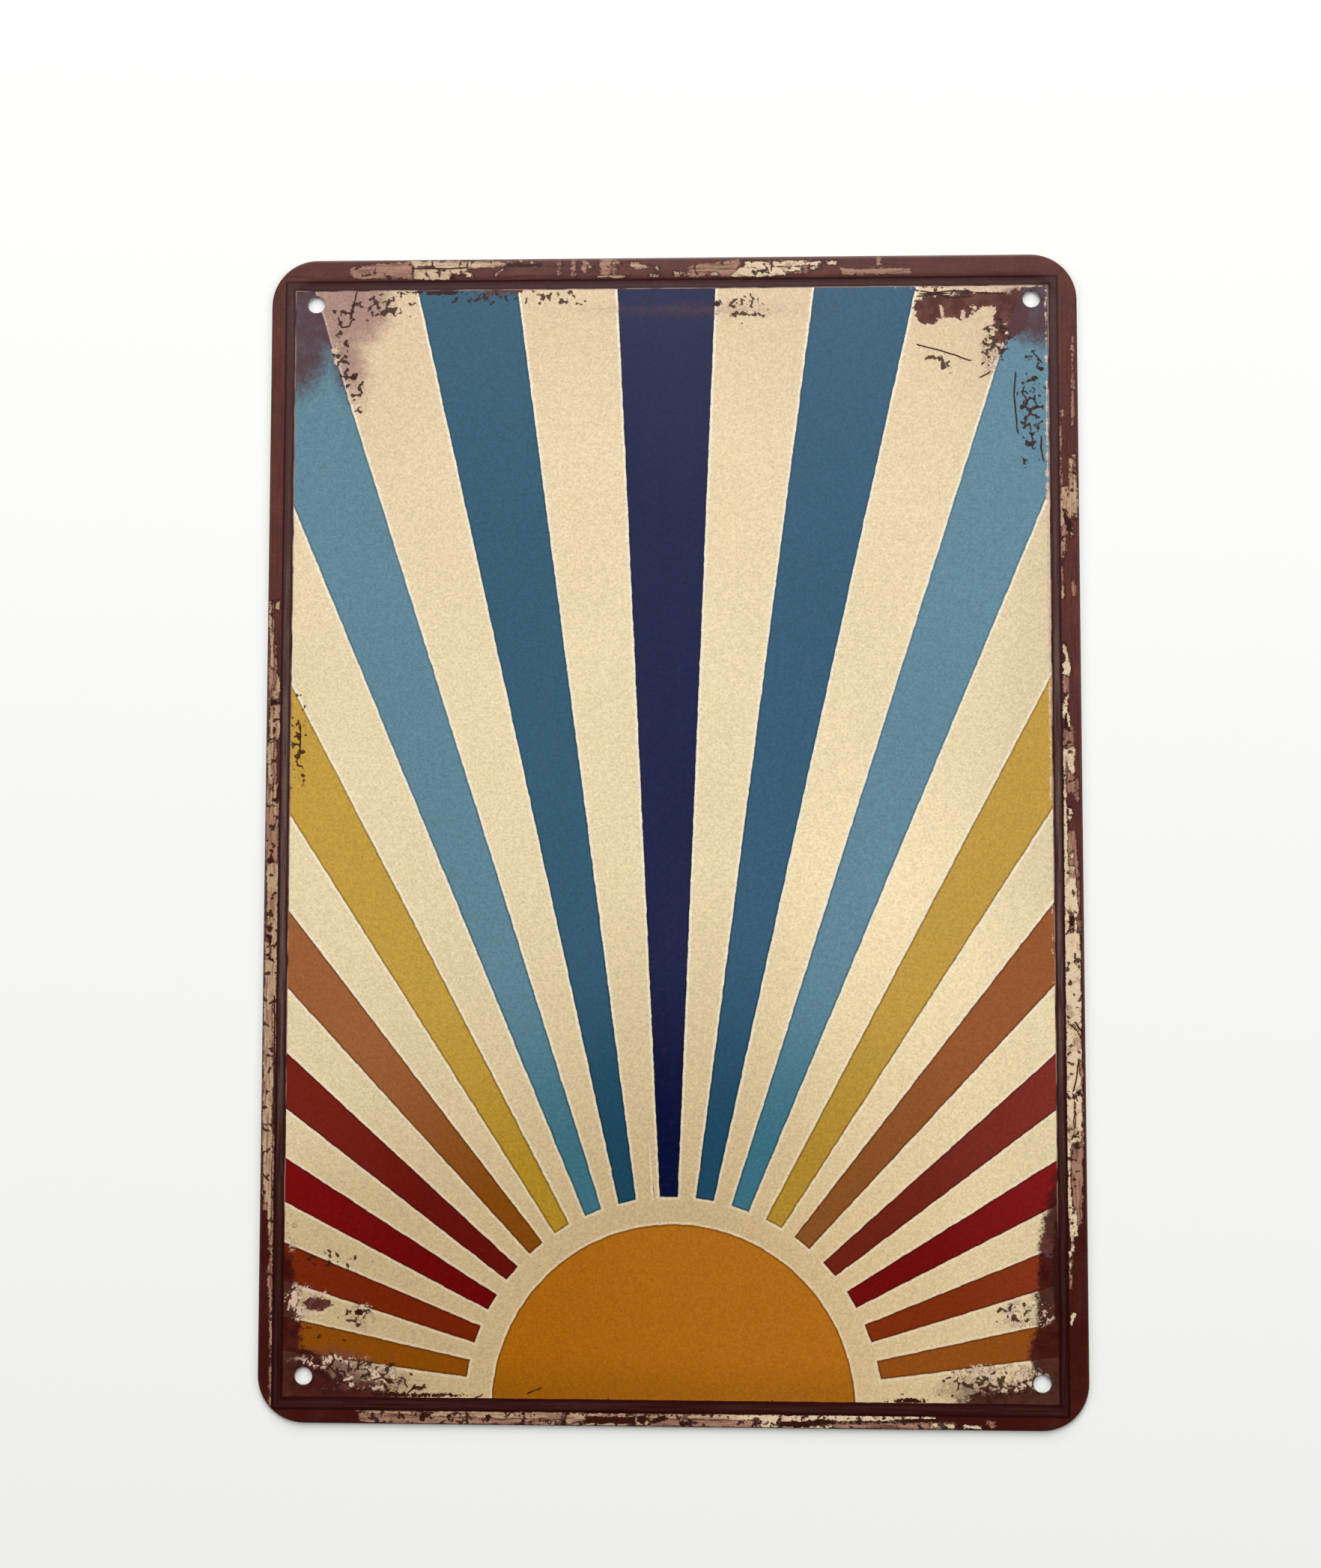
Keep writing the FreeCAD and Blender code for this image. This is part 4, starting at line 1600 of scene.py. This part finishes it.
@dataclass(frozen=True)
class PrintedFace:
    """The finish of the printed side: worn picture and border under a satin varnish."""

    sizes: SheetSizes
    roughness: float = 0.37
    gloss_level: float = 0.22
    gloss_change: float = 0.16
    peel_height: float = 0.012
    # Painted shade on the hem's fold: how far below the rim's top it starts and ends, and how strong it
    # is
    fold_shade_start: float = 0.01
    fold_shade_end: float = 0.20
    fold_shade_share: float = 0.9
    shade_share: float = 0.97
    lifted_share: float = 0.8
    rub_ring_share: float = 0.6
    ring_share: float = 0.7
    speck_share: float = 0.94
    rub: Colour = ink(168, 128, 106)
    rub_cold: Colour = ink(140, 98, 84)
    chip: Colour = ink(190, 159, 127)
    chip_warm: Colour = ink(148, 110, 88)
    chip_pale: Colour = ink(224, 200, 166)
    # rolled is the dark that the painted shade on the hem's fold goes towards
    rolled: Colour = ink(40, 20, 17)
    veil: Colour = ink(118, 56, 84)
    veil_low: Colour = ink(104, 60, 58)
    veil_paint: Colour = ink(84, 54, 60)
    shade: Colour = ink(54, 9, 8)
    shade_light: Colour = ink(72, 23, 20)
    stain: Colour = ink(104, 62, 54)
    stain_dark: Colour = ink(82, 40, 32)
    flake: Colour = ink(214, 184, 160)
    blot: Colour = ink(52, 20, 12)
    speck: Colour = ink(56, 26, 16)

    def soiled(self, at: WornPlace, colour: Socket) -> Socket:
        """Lays veils, then brown shades, then stains over the picture.

        Args:
            at: what the wear reads.
            colour: the print's colour so far.

        Returns:
            The colour.
        """
        bench = at.bench
        low = bench.ease(at.y, 40.0, -40.0)
        strength = bench.math("MULTIPLY_ADD", at.paint, 0.34, 0.62)
        strength = bench.greatest(strength, bench.times(low, 0.84))
        uneven = bench.ease(at.clouds, 0.30, 0.60, 0.86, 1.0)
        veiled = bench.times(at.torn(Wear.VEILED)["Mask"], uneven, strength)
        veil = bench.mix(low, bench.mix(at.paint, self.veil, self.veil_paint), self.veil_low)
        colour = bench.mix(veiled, colour, veil)
        shade = bench.mix(bench.ease(at.clouds, 0.40, 0.62), self.shade, self.shade_light)
        colour = bench.mix(bench.times(at.torn(Wear.SHADED)["Mask"], self.shade_share), colour, shade)
        stain = bench.mix(bench.ease(at.clouds, 0.40, 0.64), self.stain_dark, self.stain)
        stain = bench.mix(bench.times(at.paint, 0.85), stain, self.veil_paint)
        return bench.mix(at.torn(Wear.STAINED)["Mask"], colour, stain)

    def flaked(self, at: WornPlace, colour: Socket) -> Socket:
        """Breaks the picture up into pale flakes with dark edges.

        Args:
            at: what the wear reads.
            colour: the print's colour so far.

        Returns:
            The colour.
        """
        bench = at.bench
        flakes = bench.minus(bench.noise(at.place, 1.5, 3.0, 0.6), 0.555)
        flaking = at.torn(Wear.FLAKED)["Mask"]
        lifted = bench.times(bench.ease(flakes, -0.045, -0.025), flaking)
        colour = bench.mix(bench.times(lifted, self.lifted_share), colour, self.speck)
        flaked = bench.times(bench.ease(flakes, -0.01, 0.01), flaking)
        return bench.mix(flaked, colour, self.flake)

    def chipped(self, at: WornPlace, colour: Socket, pale: Socket) -> tuple[Socket, Socket]:
        """Rubs the rim thin, then chips it through, each with a dark line round it.

        Args:
            at: what the wear reads.
            colour: the print's colour so far.
            pale: 1 where chips are at their palest.

        Returns:
            The colour, and where the print is rubbed or chipped.
        """
        bench = at.bench
        rubs, chips = at.torn(Wear.RUBBED), at.torn(Wear.CHIPPED)
        rubbed = bench.times(rubs["Mask"], bench.ease(at.streaks, 0.30, 0.46, 0.35, 1.0))
        tone = bench.mix(bench.ease(at.streaks, 0.42, 0.58), self.rub_cold, self.rub)
        colour = bench.mix(bench.times(rubbed, at.rim), colour, tone)
        rings = bench.greatest(chips["Ring"], bench.times(rubs["Ring"], self.rub_ring_share))
        colour = bench.mix(bench.times(rings, at.rim, self.ring_share), colour, self.blot)
        chipped = bench.times(chips["Mask"], at.off_band)
        tone = bench.mix(bench.ease(at.streaks, 0.40, 0.56), self.chip_warm, self.chip)
        pale = bench.times(pale, bench.ease(at.clouds, 0.34, 0.50))
        tone = bench.mix(at.inside, bench.mix(pale, tone, self.chip_pale), self.flake)
        return bench.mix(chipped, colour, tone), bench.greatest(rubbed, chipped)

    def blotted(self, at: WornPlace, colour: Socket) -> Socket:
        """Lays dark blots and cracks over the print.

        Args:
            at: what the wear reads.
            colour: the print's colour so far.

        Returns:
            The colour.
        """
        bench = at.bench
        blotted = bench.times(at.torn(Wear.BLOTTED)["Mask"], at.off_band)
        bent = bench.math("MULTIPLY_ADD", at.clouds, 0.5, bench.wear(Wear.CRACKED))
        near = bench.ease(bench.wear(Wear.NEAR_CRACK), 0.0, 0.3)
        cracked = bench.times(bench.ease(bench.math("ABSOLUTE", bent), 0.30, 0.12), near)
        return bench.mix(bench.greatest(blotted, cracked), colour, self.blot)

    def specked(self, at: WornPlace, colour: Socket, worn: Socket) -> Socket:
        """Scatters short dark strokes and flecks over the print.

        Args:
            at: what the wear reads.
            colour: the print's colour so far.
            worn: where the rim is rubbed or chipped.

        Returns:
            The colour.
        """
        bench = at.bench
        on_picture = bench.times(bench.ease(bench.wear(Wear.SPECKED), -0.5, 3.2), at.inside)
        on_rim = bench.times(worn, at.rim, bench.ease(at.y, -140.0, -146.0, 0.34, 0.56))
        amount = bench.greatest(on_picture, on_rim)
        shown = bench.ease(amount, 0.0, 0.08)
        strokes = bench.use(broken_strokes(), Place=at.place, Amount=amount)["Mask"]
        least = bench.math("MULTIPLY_ADD", amount, -0.06, 0.75)
        flecks = bench.minus(bench.noise(at.place, 1.1, 2.0, 0.55), least)
        flecks = bench.times(bench.ease(flecks, -0.01, 0.015), shown)
        marks = bench.greatest(bench.times(strokes, shown), flecks)
        return bench.mix(bench.times(marks, self.speck_share), colour, self.speck)

    def worn_colour(self, bench: NodeBench, place: Socket) -> Socket:
        """Lays the picture, the border and every kind of wear over each other, then painted shade on the
        hem's fold.

        Args:
            bench: where the nodes go.
            place: the place on the sheet, in mm.

        Returns:
            The print's colour.
        """
        picture = bench.use(SunPicture().group(), Place=place)
        border = bench.use(DarkBorder().group(self.sizes.width, self.sizes.height), Place=place)
        x, y, z = bench.split(place)
        rim = border["Rim"]
        inside = bench.minus(1.0, border["Border"])
        drawn = bench.vector("MULTIPLY", border["Along"], (0.12, 1.4, 1.0))
        at = WornPlace(
            bench=bench,
            ragged=ragged_edge(),
            place=place,
            y=y,
            paint=picture["Paint"],
            rim=rim,
            inside=inside,
            off_band=bench.greatest(rim, inside),
            clouds=bench.noise(place, 3.2, 4.0, 0.65),
            streaks=bench.noise(drawn, 0.9, 3.0, 0.6),
        )
        colour = self.flaked(at, self.soiled(at, picture["Color"]))
        colour = bench.mix(border["Border"], colour, border["Color"])
        from_worn = bench.math("ABSOLUTE", bench.minus(y, 85.0))
        pale_right = bench.times(bench.ease(x, 6.0, 22.0), bench.ease(from_worn, 30.0, 45.0))
        pale_top = bench.times(bench.ease(y, 140.0, 145.0, 0.0, 0.45), bench.ease(x, -46.0, -54.0))
        colour, worn = self.chipped(at, colour, bench.greatest(pale_right, pale_top))
        colour = self.specked(at, self.blotted(at, colour), worn)
        # Painted shade: the print on the hem's fold is darkened towards rolled, where the fold turns down
        # out of the light
        top = self.sizes.rim_top
        fold = bench.ease(z, top - self.fold_shade_start, top - self.fold_shade_end, 0.0, self.fold_shade_share)
        fold = bench.times(fold, bench.ease(z, 0.1, 0.5), rim)
        colour = bench.mix(fold, colour, self.rolled)
        return bench.use(print_grain(), Place=place, Color=colour)["Color"]

    def build(self, sheet: bpy.types.NodeTree) -> bpy.types.Material:
        """Makes the material.

        Args:
            sheet: the node group of rolled sheet.

        Returns:
            The material.
        """
        material, bench, shader = new_finish("printed_face")
        place = bench.position()
        bench.feed(shader.inputs["Base Color"], self.worn_colour(bench, place))
        surface = bench.use(sheet, Place=place)
        rough = bench.math("MULTIPLY_ADD", surface["Gloss"], self.gloss_change, self.roughness)
        bench.feed(shader.inputs["Roughness"], rough)
        shader.inputs["Specular IOR Level"].default_value = self.gloss_level
        lay_relief(bench, shader, surface["Height"], self.peel_height)
        return material


@dataclass(frozen=True)
class BareMetal:
    """A finish of bare metal: the tinned back, or an edge where the sheet was cut."""

    name: str
    light: Colour
    dark: Colour
    roughness: float
    relief: float
    gloss_change: float = 0.3

    def build(self, sheet: bpy.types.NodeTree) -> bpy.types.Material:
        """Makes the material.

        Args:
            sheet: the node group of rolled sheet.

        Returns:
            The material.
        """
        material, bench, shader = new_finish(self.name)
        place = bench.position()
        surface = bench.use(sheet, Place=place)
        share = bench.ease(surface["Gloss"], -0.25, 0.25)
        bench.feed(shader.inputs["Base Color"], bench.mix(share, self.dark, self.light))
        bench.feed(shader.inputs["Metallic"], 1.0)
        rough = bench.math("MULTIPLY_ADD", surface["Gloss"], self.gloss_change, self.roughness)
        bench.feed(shader.inputs["Roughness"], rough)
        lay_relief(bench, shader, surface["Height"], self.relief)
        return material


def new_finish(name: str) -> tuple[bpy.types.Material, NodeBench, bpy.types.Node]:
    """Starts a material.

    Args:
        name: its name.

    Returns:
        The material, a bench on its nodes, and its shader.
    """
    material = bpy.data.materials.new(name)
    material.use_nodes = True
    return material, NodeBench(material.node_tree), material.node_tree.nodes["Principled BSDF"]


def lay_relief(bench: NodeBench, shader: bpy.types.Node, height: Socket, depth: float) -> None:
    """Feeds the shader's normal from a height.

    Args:
        bench: where the nodes go.
        shader: the material's shader.
        height: the relief, from 0 to 1.
        depth: how high 1 is, in mm.
    """
    bump = bench.place("ShaderNodeBump")
    bump.inputs["Distance"].default_value = depth * MM
    bench.feed(bump.inputs["Height"], height)
    bench.feed(shader.inputs["Normal"], bump.outputs["Normal"])


def add_object(name: str, data: bpy.types.ID) -> bpy.types.Object:
    """Puts a new object into the scene."""
    thing = bpy.data.objects.new(name, data)
    bpy.context.scene.collection.objects.link(thing)
    return thing


@dataclass(frozen=True)
class SignSheet:
    """The sign's one piece: the hemmed sheet with its worn print."""

    sizes: SheetSizes
    sharp_from: float = 40.0

    def finishes(self) -> tuple[bpy.types.Material, ...]:
        """The sheet's materials, in the order of Surface."""
        sheet = rolled_sheet()
        return (
            PrintedFace(self.sizes).build(sheet),
            BareMetal("tinned_back", ink(198, 196, 189), ink(180, 177, 168), 0.34, 0.006).build(sheet),
            BareMetal("cut_edge", ink(176, 174, 170), ink(120, 112, 104), 0.5, 0.01).build(sheet),
        )

    def build(self) -> bpy.types.Object:
        """Fills the mesh and dresses it.

        Returns:
            The sheet, with its place in its mesh.
        """
        points, faces = SheetMesh(self.sizes).build()
        check_closed(faces)
        mesh = bpy.data.meshes.new("sign_sheet")
        rows = [row for corners, _ in faces for row in corners.tolist()]
        mesh.from_pydata((points * MM).tolist(), [], rows)
        slots = np.concatenate([np.full(len(corners), surface.value) for corners, surface in faces])
        mesh.polygons.foreach_set("material_index", slots.astype(np.int32))
        mesh.polygons.foreach_set("use_smooth", np.ones(len(rows), dtype=bool))
        mesh.update()
        mesh.set_sharp_from_angle(angle=math.radians(self.sharp_from))
        for kind, depth in PrintWear(self.sizes).fields(points).items():
            attribute = mesh.attributes.new(kind.value, "FLOAT", "POINT")
            attribute.data.foreach_set("value", depth.astype(np.float32))
        for material in self.finishes():
            mesh.materials.append(material)
        return add_object("sign_sheet", mesh)


def check_closed(faces: list[tuple[np.ndarray, Surface]]) -> None:
    """Stops the script if an edge of the welded faces isn't shared by exactly two, once each way.

    Args:
        faces: arrays of corner numbers.
    """
    starts = np.concatenate([corners.reshape(-1) for corners, _ in faces])
    ends = np.concatenate([np.roll(corners, -1, axis=1).reshape(-1) for corners, _ in faces])
    forward = np.sort(starts * (starts.max() + 1) + ends)
    backward = np.sort(ends * (starts.max() + 1) + starts)
    if not np.array_equal(forward, backward) or np.unique(forward).size != forward.size:
        raise ValueError("the sheet is not closed")


@dataclass(frozen=True)
class SoftBox:
    """A large soft light that stands round the sign and faces its middle."""

    name: str
    azimuth: float
    elevation: float
    brightness: float
    size: float = 1.4
    distance: float = 3.0

    def build(self) -> bpy.types.Object:
        """Sets the light up.

        Its power is brightness x pi² x distance² / sin(elevation), so brightness is what it gives
        a white floor.

        Returns:
            The light.
        """
        azimuth, elevation = math.radians(self.azimuth), math.radians(self.elevation)
        data = bpy.data.lights.new(self.name, "AREA")
        data.size = self.size
        data.energy = self.brightness * math.pi**2 * self.distance**2 / math.sin(elevation)
        light = add_object(self.name, data)
        flat = math.cos(elevation) * self.distance
        light.location = (
            math.cos(azimuth) * flat,
            math.sin(azimuth) * flat,
            math.sin(elevation) * self.distance,
        )
        light.rotation_euler = (math.pi / 2 - elevation, 0, azimuth + math.pi / 2)
        return light


@dataclass(frozen=True)
class Studio:
    """The camera, lights and floor."""

    camera_place: tuple[float, float, float] = (7.5, -5.8, 385.3)
    camera_turn: tuple[float, float, float] = (2.69, 1.52, 0.08)
    focal_pixels: float = 2000.0
    image_height: float = 2094.0
    sensor: float = 36.0
    clip_start: float = 0.01
    floor_half: float = 2.5
    floor_colour: Colour = ink(250, 251, 247)
    floor_roughness: float = 0.9
    floor_gloss: float = 0.1
    daylight: float = 0.06
    backdrop: float = 0.62

    def add_camera(self) -> None:
        """Sets the camera where the photograph was taken from, nearly straight above the sign."""
        data = bpy.data.cameras.new("camera")
        data.sensor_width = self.sensor
        data.lens = self.focal_pixels * self.sensor / self.image_height
        data.clip_start = self.clip_start
        camera = add_object("camera", data)
        camera.location = [value * MM for value in self.camera_place]
        camera.rotation_euler = [math.radians(angle) for angle in self.camera_turn]
        bpy.context.scene.camera = camera

    def add_lights(self) -> None:
        """Lights the sign mostly from beyond its top edge, and a little from all round.

        The room is pale where it is seen past the floor, and dim in the light that it gives.
        """
        boxes = (
            SoftBox("light_top", 90, 48, 0.33),
            SoftBox("light_top_low", 90, 24, 0.33),
            SoftBox("light_left", 180, 30, 0.15),
            SoftBox("light_right", 0, 30, 0.17),
        )
        for box in boxes:
            box.build()
        world = bpy.data.worlds.new("room")
        world.use_nodes = True
        background = world.node_tree.nodes["Background"]
        background.inputs["Color"].default_value = (1.0, 1.0, 1.0, 1.0)
        bench = NodeBench(world.node_tree)
        seen = bench.place("ShaderNodeLightPath").outputs["Is Camera Ray"]
        strength = bench.math("MULTIPLY_ADD", seen, self.backdrop - self.daylight, self.daylight)
        bench.feed(background.inputs["Strength"], strength)
        bpy.context.scene.world = world

    def add_floor(self) -> bpy.types.Object:
        """Lays a plain pale floor under the sign.

        Returns:
            The floor.
        """
        half = self.floor_half
        mesh = bpy.data.meshes.new("floor")
        corners = [(-half, -half, 0), (half, -half, 0), (half, half, 0), (-half, half, 0)]
        mesh.from_pydata(corners, [], [(0, 1, 2, 3)])
        material, _, shader = new_finish("floor_board")
        shader.inputs["Base Color"].default_value = self.floor_colour
        shader.inputs["Roughness"].default_value = self.floor_roughness
        shader.inputs["Specular IOR Level"].default_value = self.floor_gloss
        mesh.materials.append(material)
        floor = add_object("floor", mesh)
        return floor

    def build(self) -> None:
        """Sets up everything round the sign, and shows colours as they are."""
        self.add_camera()
        self.add_lights()
        self.add_floor()
        view = bpy.context.scene.view_settings
        view.view_transform = "Standard"
        view.look = "None"


def main() -> None:
    """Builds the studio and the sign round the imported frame."""
    logging.basicConfig(level=logging.INFO, format="%(name)s: %(message)s")
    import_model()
    low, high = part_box("sign_plate")
    width, height = (round((high[axis] - low[axis]) / MM, 1) for axis in (0, 1))
    sizes = SheetSizes(width, height)
    Studio().build()
    LOG.info("studio set up")
    sheet = SignSheet(sizes).build()
    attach(sheet, "root")
    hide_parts("sign_plate")
    LOG.info("%s: %d faces", sheet.name, len(sheet.data.polygons))


if __name__ == "__main__":
    main()
